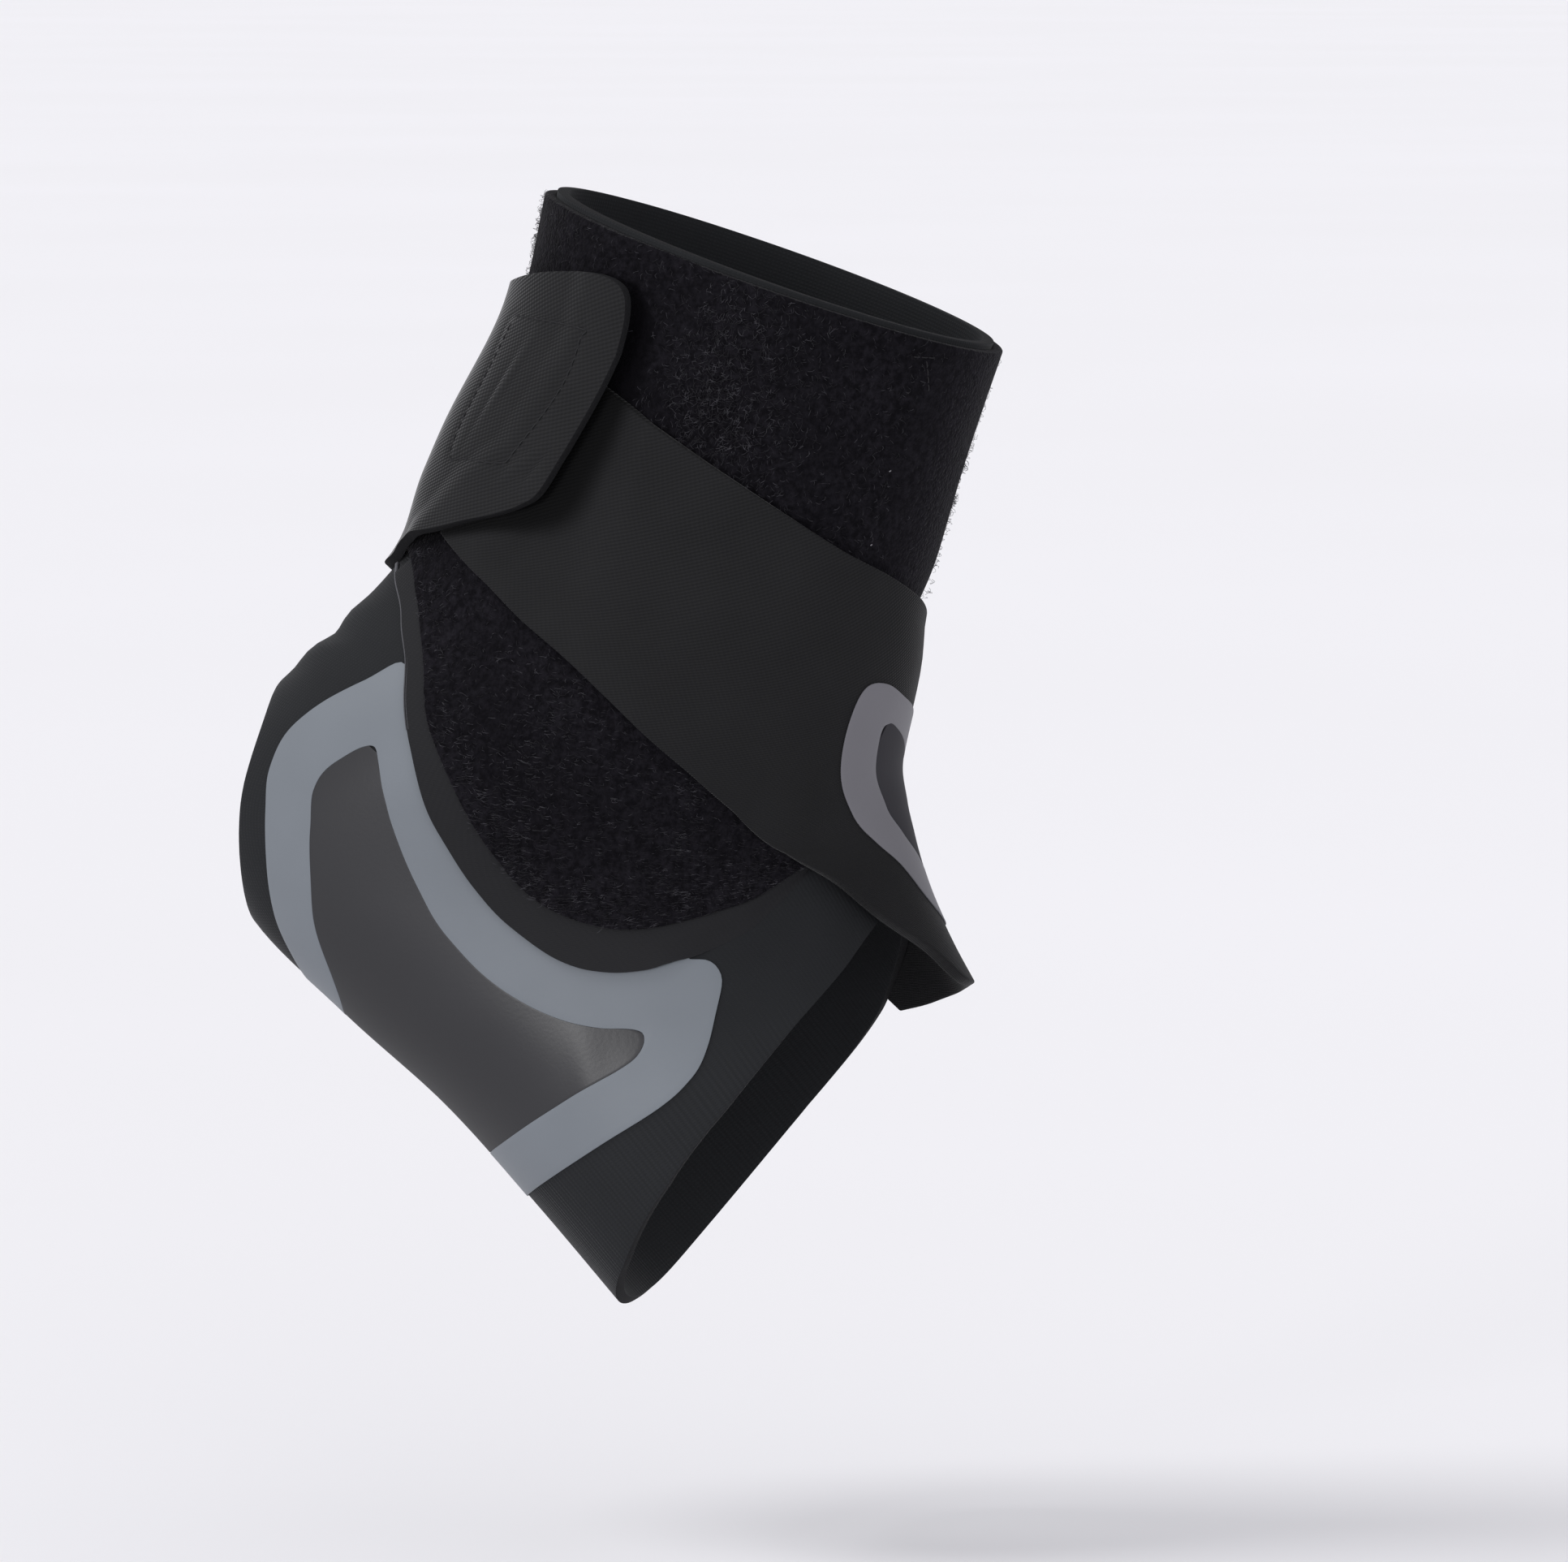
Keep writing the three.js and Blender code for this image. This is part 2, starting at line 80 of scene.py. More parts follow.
# A place on the form is a pair: around in turns (0 front, 0.25 outer side, 0.5 back or sole, 0.75
# inner side) and along in sections. These swell it over the ankle bones and fold it behind them.
SWELLS = [
    # around, along, reach_around, reach_along, height as a share of the breadth
    (0.47, 3.98, 0.07, 0.16, 0.008),
    (0.48, 4.22, 0.07, 0.13, -0.007),
    (0.46, 4.46, 0.07, 0.15, 0.008),
    (0.47, 4.72, 0.06, 0.13, -0.004),
    (0.27, 4.90, 0.08, 1.10, 0.016),
    (0.72, 4.60, 0.08, 1.10, 0.024),
]

# Creases in the stretch knit, in millimetres on the cloth: a long low ridge each, turned by slant.
CREASES = [
    # around, along, half_length, half_width, slant in degrees, height
    (0.455, 3.90, 8, 1.5, 14, 0.16),
    (0.450, 4.13, 7, 1.4, 20, -0.14),
    (0.448, 4.36, 8, 1.4, 24, 0.16),
    (0.452, 4.62, 7, 1.4, 30, -0.12),
    (0.560, 4.00, 10, 1.7, -16, 0.25),
    (0.556, 4.30, 10, 1.6, -22, -0.20),
    (0.560, 4.58, 9, 1.6, -26, 0.20),
    (0.700, 4.55, 14, 2.2, -38, 0.35),
    (0.730, 4.95, 13, 2.2, -42, -0.30),
    (0.300, 9.30, 16, 2.6, 64, 0.20),
    (0.690, 9.20, 18, 2.6, -60, 0.25),
    (0.760, 8.60, 16, 2.4, -64, -0.22),
    (0.820, 7.60, 12, 2.2, -50, 0.24),
]

# Millimetres in one turn and in one section: on the knit, on the pile and beside the tab.
KNIT_TURN, KNIT_SECTION = 260, 20
PILE_TURN, PILE_SECTION = 260, 22
TAB_TURN, TAB_SECTION = 235, 24
# Metres in one turn and in one section in the UV map of the cloths.
UV_TURN, UV_SECTION = 0.240, 0.0235

# Upper ends of the sleeve and the wrap, and more sections than the wrap runs down anywhere.
SLEEVE_TOP = 0.06
WRAP_TOP = 0.10
WRAP_RUN = 9

# Millimetres from the skin side to the lower faces of the strap and the hook tape, on the pile,
# and how far the strap comes down where it lies on the knit instead.
STRAP_LOW = 4.25
STRAP_DROP = 2.15
HOOK_LOW = 4.35

# Front edge of the sleeve, all the way round.
SLEEVE_END = [
    (0.00, 7.75), (0.065, 8.55), (0.12, 9.31), (0.18, 9.82), (0.24, 10.20), (0.30, 10.48),
    (0.38, 10.75), (0.50, 10.95), (0.62, 10.90), (0.74, 10.70), (0.84, 10.30), (0.92, 9.30),
    (1.00, 7.75),
]

# Opening at the heel: centre, then half sizes.
HEEL = (0.5, 6.02, 0.083, 1.17)

# Rounded flap of the wrap over the outer ankle: its outer edge, then the edge of its pile.
FLAP = [
    (0.440, 3.42, 0.432, 3.22), (0.404, 3.62, 0.390, 3.52), (0.382, 3.84, 0.368, 3.76),
    (0.359, 4.12, 0.345, 4.08), (0.332, 4.62, 0.315, 4.66), (0.311, 5.08, 0.292, 5.12),
    (0.294, 5.58, 0.273, 5.62), (0.280, 6.15, 0.260, 6.18), (0.272, 6.75, 0.253, 6.66),
    (0.2665, 7.35, 0.247, 7.05), (0.260, 7.84, 0.238, 7.34), (0.247, 8.13, 0.226, 7.54),
    (0.229, 8.24, 0.211, 7.62), (0.213, 8.22, 0.193, 7.60), (0.195, 8.20, 0.172, 7.52),
    (0.160, 7.98, 0.145, 7.33), (0.128, 7.45, 0.118, 6.82), (0.108, 6.95, 0.098, 6.35),
]
# Lower edge of the pile, all the way round.
WRAP_FRONT = [(0.00, 4.00), (0.045, 5.10)]
WRAP_BACK = [(0.50, 3.10), (0.60, 3.08), (0.72, 3.08), (0.83, 3.12), (0.92, 3.40)]
WRAP_LOW = WRAP_FRONT + [(r[2], r[3]) for r in reversed(FLAP)] + WRAP_BACK + [(1.0, 4.0)]

# Strap, tab and hook patch: around and along of the upper edge, then of the lower edge.
STRAP = [
    (0.332, 1.17, 0.400, 2.86), (0.294, 1.27, 0.355, 3.05), (0.248, 1.41, 0.310, 3.28),
    (0.206, 1.53, 0.257, 3.59), (0.163, 1.66, 0.205, 4.05), (0.120, 1.79, 0.165, 4.58),
    (0.080, 1.88, 0.130, 5.50), (0.045, 1.98, 0.100, 6.90), (0.010, 2.10, 0.075, 8.60),
    (-0.030, 2.30, 0.040, 9.75), (-0.075, 2.70, 0.005, 10.80), (-0.125, 3.40, -0.060, 10.92),
    (-0.175, 4.50, -0.110, 10.75), (-0.215, 5.70, -0.150, 10.50),
]
TAB = [
    (0.680, 1.75, 0.680, 3.45), (0.610, 1.45, 0.610, 3.58), (0.550, 1.15, 0.550, 3.57),
    (0.500, 0.95, 0.500, 3.47), (0.450, 0.78, 0.460, 3.28), (0.410, 0.62, 0.425, 3.03),
    (0.371, 0.48, 0.398, 2.84), (0.343, 0.40, 0.374, 2.64), (0.325, 0.39, 0.350, 2.46),
    (0.315, 0.45, 0.333, 2.30), (0.3105, 0.62, 0.323, 2.13), (0.3095, 0.90, 0.3175, 1.75),
]
HOOK = [(0.425, 1.05, 0.420, 2.18), (0.385, 0.93, 0.385, 2.04), (0.352, 0.86, 0.364, 1.88)]
# Where the strap's end lies under the tab: along, around.
STRAP_HIDDEN = [(1.0, 0.345), (1.9, 0.358), (2.3, 0.386), (2.9, 0.412)]

# Grey ribbon round the heel, outer half. The inner half mirrors it.
RIBBON_HEEL = [
    (0.500, 7.72), (0.462, 7.66), (0.430, 7.42), (0.408, 7.02), (0.392, 6.48), (0.389, 6.00),
    (0.397, 5.60), (0.401, 5.22), (0.390, 4.84), (0.375, 4.48), (0.3615, 4.15),
]
RIBBON_TOE = [
    (0.203, 8.24), (0.195, 8.33), (0.193, 8.50), (0.197, 8.75), (0.212, 9.12), (0.229, 9.48),
    (0.246, 9.71), (0.270, 9.83), (0.320, 9.86), (0.400, 9.89), (0.500, 9.92),
]
RIBBON_INNER = [
    (0.500, 8.08), (0.446, 7.98), (0.412, 7.75), (0.385, 7.35), (0.362, 6.72), (0.354, 6.12),
    (0.3565, 5.72), (0.355, 5.50), (0.348, 5.31), (0.341, 5.17),
    (0.334, 5.13), (0.327, 5.27), (0.319, 5.50), (0.310, 5.82), (0.303, 6.25), (0.2995, 6.80),
    (0.3005, 7.40), (0.3005, 7.88), (0.294, 8.28), (0.284, 8.58), (0.271, 8.79),
    (0.2595, 8.90), (0.254, 8.99), (0.2545, 9.08), (0.259, 9.18), (0.267, 9.26), (0.279, 9.30),
    (0.293, 9.32), (0.310, 9.34), (0.345, 9.39), (0.410, 9.46), (0.500, 9.50),
]
# Rows of the inner outline that face each other across the panel, from its point to the sole.
PANEL = [
    (9.5, 10.5), (8.4, 11.6), (7.2, 12.5), (6, 13.4), (5, 14.3), (4.2, 15.4), (3.6, 16.6),
    (3.1, 17.6), (2.7, 18.5), (2.4, 19.4), (2.15, 20.4), (1.95, 21.5), (1.8, 22.5), (1.65, 23.6),
    (1.45, 25), (1.2, 26.5), (0.9, 28), (0.5, 29.6), (0, 31),
]
# Ring on the strap over the instep: outer edge, inner edge.
RING = [
    (0.078, 2.90, 0.049, 3.36), (0.084, 3.30, 0.0475, 3.75), (0.080, 4.05, 0.042, 4.40),
    (0.073, 4.80, 0.035, 5.05), (0.058, 5.75, 0.025, 5.75), (0.038, 7.00, 0.010, 6.60),
    (0.014, 8.45, -0.010, 7.45), (-0.018, 9.30, -0.030, 7.90), (-0.052, 9.35, -0.046, 7.80),
    (-0.080, 8.40, -0.058, 7.20), (-0.096, 7.00, -0.064, 6.40), (-0.096, 5.60, -0.060, 5.50),
    (-0.083, 4.50, -0.048, 4.60), (-0.055, 3.70, -0.027, 3.95), (-0.015, 3.18, 0.003, 3.52),
    (0.030, 2.93, 0.032, 3.28), (0.058, 2.82, 0.043, 3.26),
]

# Outline of the hook patch, as its seam shows through the tab: around, along.
PATCH_SEAM = [
    (0.420, 1.00), (0.344, 0.83), (0.341, 0.92), (0.342, 1.34), (0.355, 1.92), (0.362, 2.06),
    (0.398, 2.17), (0.420, 2.20), (0.423, 1.60),
]
# Creases in the tab, as those in the knit.
TAB_FOLDS = [
    # around, along, half_length, half_width, slant in degrees, height
    (0.345, 2.02, 5, 0.9, 62, 0.22),
    (0.334, 2.00, 4, 0.8, 75, -0.18),
    (0.393, 1.45, 9, 0.9, 80, 0.18),
    (0.402, 1.70, 9, 1.0, 84, -0.15),
    (0.360, 1.20, 8, 2.5, 60, 0.10),
]


def linear(code, alpha=True):
    """An sRGB hex colour as linear numbers."""
    parts = [int(code[i : i + 2], 16) / 255 for i in (1, 3, 5)]
    made = [p / 12.92 if p <= 0.04045 else ((p + 0.055) / 1.055) ** 2.4 for p in parts]
    return (*made, 1.0) if alpha else tuple(made)


def length(name, description, millimetres):
    default = millimetres * MM
    return FloatProperty(
        name=name, description=description, default=default, unit="LENGTH", subtype="DISTANCE"
    )


def colour(name, description, code):
    default = linear(code, alpha=False)
    return FloatVectorProperty(
        name=name, description=description, default=default, subtype="COLOR", min=0, max=1
    )


class BraceSettings(bpy.types.PropertyGroup):
    """Sizes and colours of the ankle brace."""

    ankle_depth: length("Ankle depth", "Unit of the forward columns of the tables", 100)
    ankle_rise: length("Ankle rise", "Unit of the upward columns of the tables", 100)
    ankle_breadth: length("Ankle breadth", "Across the ankle bones, inside the brace", 70)
    leg_lean: FloatProperty(
        name="Leg lean",
        description="Angle that the leg leans towards the toes",
        default=math.radians(22.3),
        subtype="ANGLE",
    )
    sleeve_thick: length("Sleeve", "Thickness of the laminated stretch knit", 2.0)
    pile_top: length("Pile height", "Top of the loop pile over the skin side", 4.15)
    strap_top: length("Strap height", "Top of the strap over the skin side, on the pile", 6.3)
    tab_thick: length("Tab", "Thickness of the closing tab", 1.9)
    film_thick: length("Film", "Thickness of the bonded ribbons and panels", 0.3)
    loops: IntProperty(name="Loops", description="Loose loops in the pile", default=6200, min=0)
    seed: IntProperty(name="Seed", description="Seed of the loose loops", default=7)
    knit_colour: colour("Knit", "Laminated stretch knit", "#1f2022")
    margin_colour: colour("Margin", "Smooth edge of the flap", "#202022")
    pile_colour: colour("Pile", "Brushed loop pile", "#100f12")
    strap_colour: colour("Strap", "Twill elastic of the instep strap", "#1d1d1e")
    tab_colour: colour("Tab", "Twill webbing of the closing tab", "#19191a")
    hook_colour: colour("Hook tape", "Hook tape under the tab", "#1b1b1d")
    ribbon_colour: colour("Ribbon", "Bonded film of the ribbon", "#6d7278")
    panel_colour: colour("Panel", "Bonded film of the panel", "#262629")
    ring_colour: colour("Ring", "Bonded film of the ring", "#69686d")
    thread_colour: colour("Thread", "Sewing thread", "#19191b")


# The form


def along(rows, t, closed=False):
    """A smooth line through the rows of a table, at t rows from its start."""
    rows, t = np.asarray(rows, float), np.asarray(t, float)
    n, i = len(rows), np.floor(t).astype(int)
    if closed:
        p, q, r, s = (rows[(i + k) % n] for k in (-1, 0, 1, 2))
    else:
        i = np.clip(i, 0, n - 2)
        rows = np.vstack([2 * rows[0] - rows[1], rows, 2 * rows[-1] - rows[-2]])
        p, q, r, s = (rows[i + k] for k in (0, 1, 2, 3))
    f = (t - i)[..., None]
    bend, twist = 2 * p - 5 * q + 4 * r - s, 3 * q - p - 3 * r + s
    return 0.5 * (2 * q + (r - p) * f + bend * f**2 + twist * f**3)


def drawn(rows, steps, first=0, last=None):
    """The smooth line through the rows of a table, or from its first to its last given row."""
    return along(rows, np.linspace(first, len(rows) - 1 if last is None else last, steps))


def smooth(low, high, x):
    """From 0 at low to 1 at high, without a kink, and the other way round where low is higher."""
    t = np.clip((x - low) / (high - low), 0, 1)
    return t * t * (3 - 2 * t)


def lookup(rows, x):
    """The second column of a table where its first column, which rises, is x."""
    rows = np.asarray(rows, float)
    return np.interp(x, rows[:, 0], rows[:, 1])


def power(x, e):
    return np.sign(x) * np.abs(x) ** e


def form(brace, u, w):
    """The skin side of the sleeve, in the frame of the leg."""
    ff, fu, bf, bu, half, lean, square = np.moveaxis(along(SECTIONS, w), -1, 0)
    c = np.cos(2 * np.pi * u)
    e = 2 / (2 + (square - 2) * (1 - c) / 2)
    x, y = power(c, e), power(np.sin(2 * np.pi * u), e)
    forward = brace.ankle_depth * ((bf + ff) / 2 + (ff - bf) / 2 * x)
    sideways = -brace.ankle_breadth * half * y * (1 + lean * x)
    upward = brace.ankle_rise * ((bu + fu) / 2 + (fu - bu) / 2 * x)
    return np.stack([forward, sideways, upward], -1)


def outward(brace, u, w):
    """Unit direction away from the skin, in the frame of the leg."""
    du = form(brace, u + 1e-3, w) - form(brace, u - 1e-3, w)
    last = len(SECTIONS) - 1
    dw = form(brace, u, np.minimum(w + 0.01, last)) - form(brace, u, np.maximum(w - 0.01, 0))
    away = np.cross(du, dw)
    return away / np.linalg.norm(away, axis=-1, keepdims=True)


def ridge(x, y, half_length, half_width, slant=0):
    """A soft ridge, 1 at its middle, turned by slant degrees."""
    c, s = math.cos(math.radians(slant)), math.sin(math.radians(slant))
    return np.exp(-(((x * c + y * s) / half_length) ** 2) - ((y * c - x * s) / half_width) ** 2)


def turns_from(start, u):
    """Turns round the form from a start, the shorter way."""
    return (u - start) - np.round(u - start)


def swell(brace, u, w):
    """Height of the swells of the form."""
    total = np.zeros_like(u)
    for au, aw, ru, rw, height in SWELLS:
        total += height * brace.ankle_breadth * ridge(turns_from(au, u), w - aw, ru, rw)
    return total


def creases(u, w):
    """Height of the creases in the knit."""
    total = np.zeros_like(u)
    for au, aw, half_length, half_width, slant, height in CREASES:
        x, y = turns_from(au, u) * KNIT_TURN, (w - aw) * KNIT_SECTION
        total += height * MM * ridge(x, y, half_length, half_width, slant)
    return total


def upright(brace, points):
    """Turns points from the frame of the leg to the frame of the part."""
    c, s = math.cos(brace.leg_lean), math.sin(brace.leg_lean)
    x, y, z = np.moveaxis(points, -1, 0)
    return np.stack([c * x + s * z, y, c * z - s * x], -1)


def place(brace, u, w, height):
    """A place on the form, raised off the skin by a height."""
    u, w = np.broadcast_arrays(np.asarray(u, float), np.asarray(w, float))
    lift = height + swell(brace, u, w)
    return upright(brace, form(brace, u, w) + outward(brace, u, w) * lift[..., None])


def ladder(rows, closed=False):
    """The two edge lines of a table of four columns, at t from 0 to 1."""

    def edges(t):
        r = along(rows, t * (len(rows) if closed else len(rows) - 1), closed)
        return r[..., :2], r[..., 2:]

    return edges


def pressed(u, w):
    """How far the strap's upper edge is pressed into the pile, from 0 to 1."""
    fine = drawn(STRAP, 200)[::-1]
    turn = u - np.round(u - 0.15)
    upper = np.interp(turn, fine[:, 0], fine[:, 1])
    ends = smooth(-0.2, -0.1, turn) * smooth(0.30, 0.24, turn)
    return ends * np.exp(-(((w - upper) / 0.32) ** 2))


def dipped(u, w):
    """Where the strap runs down under the tab's free edge, from 0 to 1."""
    return smooth(0.262, 0.296, u) * smooth(0.36, 0.33, u) * smooth(3.3, 2.7, w)


def strap_under(u, w):
    """Height of the strap's lower face: on the pile, pressed in at its upper edge, then down on
    the knit beyond the pile, where it spans the bend of the instep a little off it."""
    # Millimetres that it spans off the knit, is pressed in and dips under the tab.
    off, press, dip = 1.25, 1.4, 1.2
    edge = lookup(WRAP_LOW, u - np.floor(u))
    span = off * smooth(-0.17, -0.07, u)
    drop = (STRAP_DROP - span) * smooth(edge + 0.6, edge + 5.0, w)
    # Its root is sewn down flat.
    sewn = smooth(0.065, 0.0, u - np.interp(w, (4.5, 5.7, 10.5), (-0.205, -0.215, -0.150)))
    drop = drop + (STRAP_DROP - drop) * sewn * smooth(edge + 0.1, edge + 1.0, w)
    return (STRAP_LOW - drop - np.maximum(press * pressed(u, w), dip * dipped(u, w))) * MM


def on_strap(brace, raised=0.0):
    """Height of the strap's upper face, raised by a little for what lies on it."""
    thick = brace.strap_top - STRAP_LOW * MM
    return lambda u, w: strap_under(u, w) + thick + raised


def covered(u, w, spare=0.0):
    """True where the strap or the tab lies on the wrap."""
    turn = u - np.round(u - 0.15)
    hidden = np.zeros(np.shape(u), bool)
    for rows in (STRAP, TAB):
        fine = drawn(rows, 200)[::-1]
        upper, lower = fine[:, :2], fine[:, 2:]
        inside = (turn > max(upper[0, 0], lower[0, 0])) & (turn < upper[-1, 0])
        above = np.interp(turn, upper[:, 0], upper[:, 1]) + spare
        below = np.interp(turn, lower[:, 0], lower[:, 1]) - spare
        hidden |= inside & (w > above) & (w < below)
    return hidden


# Places along the tab's free edge: around, along, and how wide the painted shade beside it is in
# mm.
CREVICE = [
    (0.325, 0.39, 0.8), (0.3105, 0.62, 2.8), (0.3095, 0.90, 3.6), (0.3135, 1.33, 5.0),
    (0.3175, 1.75, 6.4), (0.323, 2.13, 7.2), (0.333, 2.30, 6.0), (0.350, 2.46, 3.6),
    (0.374, 2.64, 3.0), (0.410, 2.90, 2.4), (0.450, 3.22, 1.6),
]


def millimetres_off(line, u, w):
    """Distances near the tab from places on the form to each point of a line."""
    x = (np.asarray(u)[..., None] - line[:, 0]) * TAB_TURN
    y = (np.asarray(w)[..., None] - line[:, 1]) * TAB_SECTION
    return np.sqrt(x**2 + y**2)


def crevice(u, w):
    """From 1 at the tab's free edge down to 0 beyond the crevice beside it: where shade is painted.
    """
    edge = drawn(CREVICE, 120)
    return smooth(1.15, 0.45, (millimetres_off(edge, u, w) / edge[:, 2]).min(axis=-1))


# Making cloth


def even_steps(brace, edges, n):
    """Steps of t that are evenly long on the form."""
    t = np.linspace(0, 1, 12 * n + 1)
    a, b = edges(t)
    lines = [place(brace, e[:, 0], e[:, 1], 0) for e in (a, b)]
    steps = sum(np.linalg.norm(np.diff(line, axis=0), axis=1) for line in lines) / 2
    run = np.concatenate([[0], np.cumsum(steps)])
    return np.interp(np.linspace(0, run[-1], n + 1), run, t)


def linked(name, data):
    """An object of that name and data, in the scene."""
    made = bpy.data.objects.new(name, data)
    bpy.context.collection.objects.link(made)
    return made


def solid(name, mesh):
    """An object of a finished bmesh, which is freed."""
    data = bpy.data.meshes.new(name)
    mesh.to_mesh(data)
    mesh.free()
    return linked(name, data)


def grid_on_form(brace, name, edges, cells, under, closed=False, cut=None):
    """A grid laid on the form between two edge lines, with its own UV map in metres. Each vertex
    keeps its place as the attributes around, along (on the form), across (from edge to edge),
    crevice (the mask of the shade painted beside the tab) and from_front."""
    n, m = cells
    t = even_steps(brace, edges, n)
    mesh = bmesh.new()
    bmesh.ops.create_grid(mesh, x_segments=n, y_segments=m, size=0.5)
    flat = np.array([v.co[:2] for v in mesh.verts])
    i = np.rint((flat[:, 0] + 0.5) * n).astype(int)
    s = flat[:, 1] + 0.5
    a, b = edges(t[i])
    u, w = (a + (b - a) * s[:, None]).T
    uv = mesh.loops.layers.uv.new("cloth")
    for v, x, y in zip(mesh.verts, -u * UV_TURN, w * UV_SECTION):
        for loop in v.link_loops:
            loop[uv].uv = (x, y)
    names = ("around", "along", "across", "crevice", "from_front")
    layers = [mesh.verts.layers.float.new(k) for k in names]
    for v, *values in zip(mesh.verts, u, w, s, crevice(u, w), np.abs(u - np.round(u))):
        for layer, value in zip(layers, values):
            v[layer] = value
    if cut:
        cut(mesh, *layers[:2])
    u, w = (np.array([v[k] for v in mesh.verts]) for k in layers[:2])
    points = place(brace, u, w, under(u, w))
    for v, p in zip(mesh.verts, points):
        v.co = p
    if closed:
        bmesh.ops.remove_doubles(mesh, verts=mesh.verts, dist=1e-6)
    mesh.normal_update()
    mesh.faces.ensure_lookup_table()
    probe = mesh.faces[len(mesh.faces) // 2].verts[0]
    at = (np.array([probe[k]]) for k in layers[:2])
    away = upright(brace, outward(brace, *at))
    if probe.normal.dot(Vector(away[0])) < 0:
        bmesh.ops.reverse_faces(mesh, faces=mesh.faces)
    for f in mesh.faces:
        f.smooth = True
    return solid(name, mesh)


def level(height):
    """The same height at all places."""
    return lambda u, w: height + 0 * u


def thicken(made, thick, rounding, materials, thin=None):
    """Gives a laid grid its wall, outwards, and rounds the cut edges. thin gives the share of the
    thickness by place on the form."""
    for m in materials:
        made.data.materials.append(m)
    wall = made.modifiers.new("wall", "SOLIDIFY")
    wall.thickness, wall.offset, wall.use_quality_normals = thick, 1, True
    wall.material_offset_rim = len(materials) - 1
    if thin:
        size = len(made.data.vertices)
        u, w, s = (np.zeros(size) for _ in range(3))
        for name, values in (("around", u), ("along", w), ("across", s)):
            made.data.attributes[name].data.foreach_get("value", values)
        group = made.vertex_groups.new(name="thickness")
        for k, share in enumerate(thin(u, w, s)):
            group.add([k], float(share), "REPLACE")
        wall.vertex_group = "thickness"
    edge = made.modifiers.new("rounded edge", "BEVEL")
    edge.width, edge.segments, edge.profile = rounding, 3, 0.5
    edge.limit_method, edge.angle_limit = "ANGLE", math.radians(50)
    return made


def strands(name, lines, radius, material):
    """Fine strands along lists of points, as one mesh of four-sided tubes."""
    curve = bpy.data.curves.new(name + "_lines", "CURVE")
    curve.dimensions, curve.bevel_depth, curve.bevel_resolution = "3D", radius, 0
    curve.use_fill_caps = True
    for line in lines:
        spline = curve.splines.new("POLY")
        spline.points.add(len(line) - 1)
        spline.points.foreach_set("co", [x for p in line for x in (*p, 1.0)])
    source = bpy.data.objects.new(name + "_lines", curve)
    data = bpy.data.meshes.new_from_object(source)
    bpy.data.objects.remove(source)
    bpy.data.curves.remove(curve)
    data.name = name
    data.materials.clear()
    data.materials.append(material)
    return linked(name, data)


def worn(made, slot, *nodes):
    """The piece rides on the brace, and stands for CAD nodes where they are named."""
    if nodes:
        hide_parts(*nodes)
    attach(made, "root")
    return made


def stitches(brace, name, line, pitch, height, material, thread=0.16 * MM):
    """Lockstitches along a line on the form: a short raised thread at each step."""
    path = drawn(line, 600)
    points = place(brace, path[:, 0], path[:, 1], 0)
    run = np.concatenate([[0], np.cumsum(np.linalg.norm(np.diff(points, axis=0), axis=1))])
    count = int(run[-1] / pitch)
    made = []
    for k in range(count):
        spans = (k + np.array([0.08, 0.25, 0.6, 0.92])) * pitch
        at = np.stack([np.interp(spans, run, path[:, c]) for c in (0, 1)], -1)
        lift = np.array([-0.10, 0.10, 0.10, -0.10]) * MM
        made.append(place(brace, at[:, 0], at[:, 1], height(at[:, 0], at[:, 1]) + lift))
    return strands(name, made, thread, material)


# Materials


def add(tree, kind, sockets, out=0, **settings):
    """Adds a node with its settings, and values or links for its sockets; gives its output."""
    made = tree.nodes.new("ShaderNode" + kind)
    for key, value in settings.items():
        setattr(made, key, value)
    for key, value in sockets.items():
        if isinstance(value, bpy.types.NodeSocket):
            tree.links.new(value, made.inputs[key])
        else:
            made.inputs[key].default_value = value
    return made.outputs[out] if made.outputs else None


def material(surface_of):
    """Makes a material's maker out of a function that gives the sockets of its surface. The maker
    takes the material's name first, where the function takes what adds a node to the tree."""

    def make(name, *looks, **more):
        made = bpy.data.materials.get(name) or bpy.data.materials.new(name)
        made.use_nodes = True
        made.node_tree.nodes.clear()
        node = partial(add, made.node_tree)
        surface = node("BsdfPrincipled", surface_of(node, *looks, **more))
        node("OutputMaterial", {"Surface": surface})
        return made

    return make


def scaled(rgb, share):
    """A colour, made lighter or darker by a share, with its alpha."""
    return (*(min(1.0, c * share) for c in rgb), 1.0)


# A wave node's band repeats every 0.31416 of its coordinate at scale 1.
WAVE = 0.31416
TIMES = {"operation": "MULTIPLY"}
TIMES_PLUS = {"operation": "MULTIPLY_ADD"}
CLAMPED = {"operation": "MULTIPLY_ADD", "use_clamp": True}
COLOURS = {"data_type": "RGBA"}


def speckled(node, grain_size, detail, dark, pale):
    """A noise with grains of a size, and a tint that it makes between two colours."""
    space = node("TexCoord", {}, "Object")
    grain = node("TexNoise", {"Vector": space, "Scale": 1 / grain_size, "Detail": detail})
    return grain, node("Mix", {0: grain, 6: dark, 7: pale}, 2, **COLOURS)


def painted_crevice_shade(node, tint, share, dark):
    """A tint that turns to a dark one by a share in the crevice beside the tab's free edge, as
    painted shade where little light gets."""
    deep = node("Attribute", {}, "Fac", attribute_name="crevice")
    deep = node("Math", {0: deep, 1: share}, **TIMES)
    return node("Mix", {0: deep, 6: tint, 7: dark}, 2, **COLOURS)


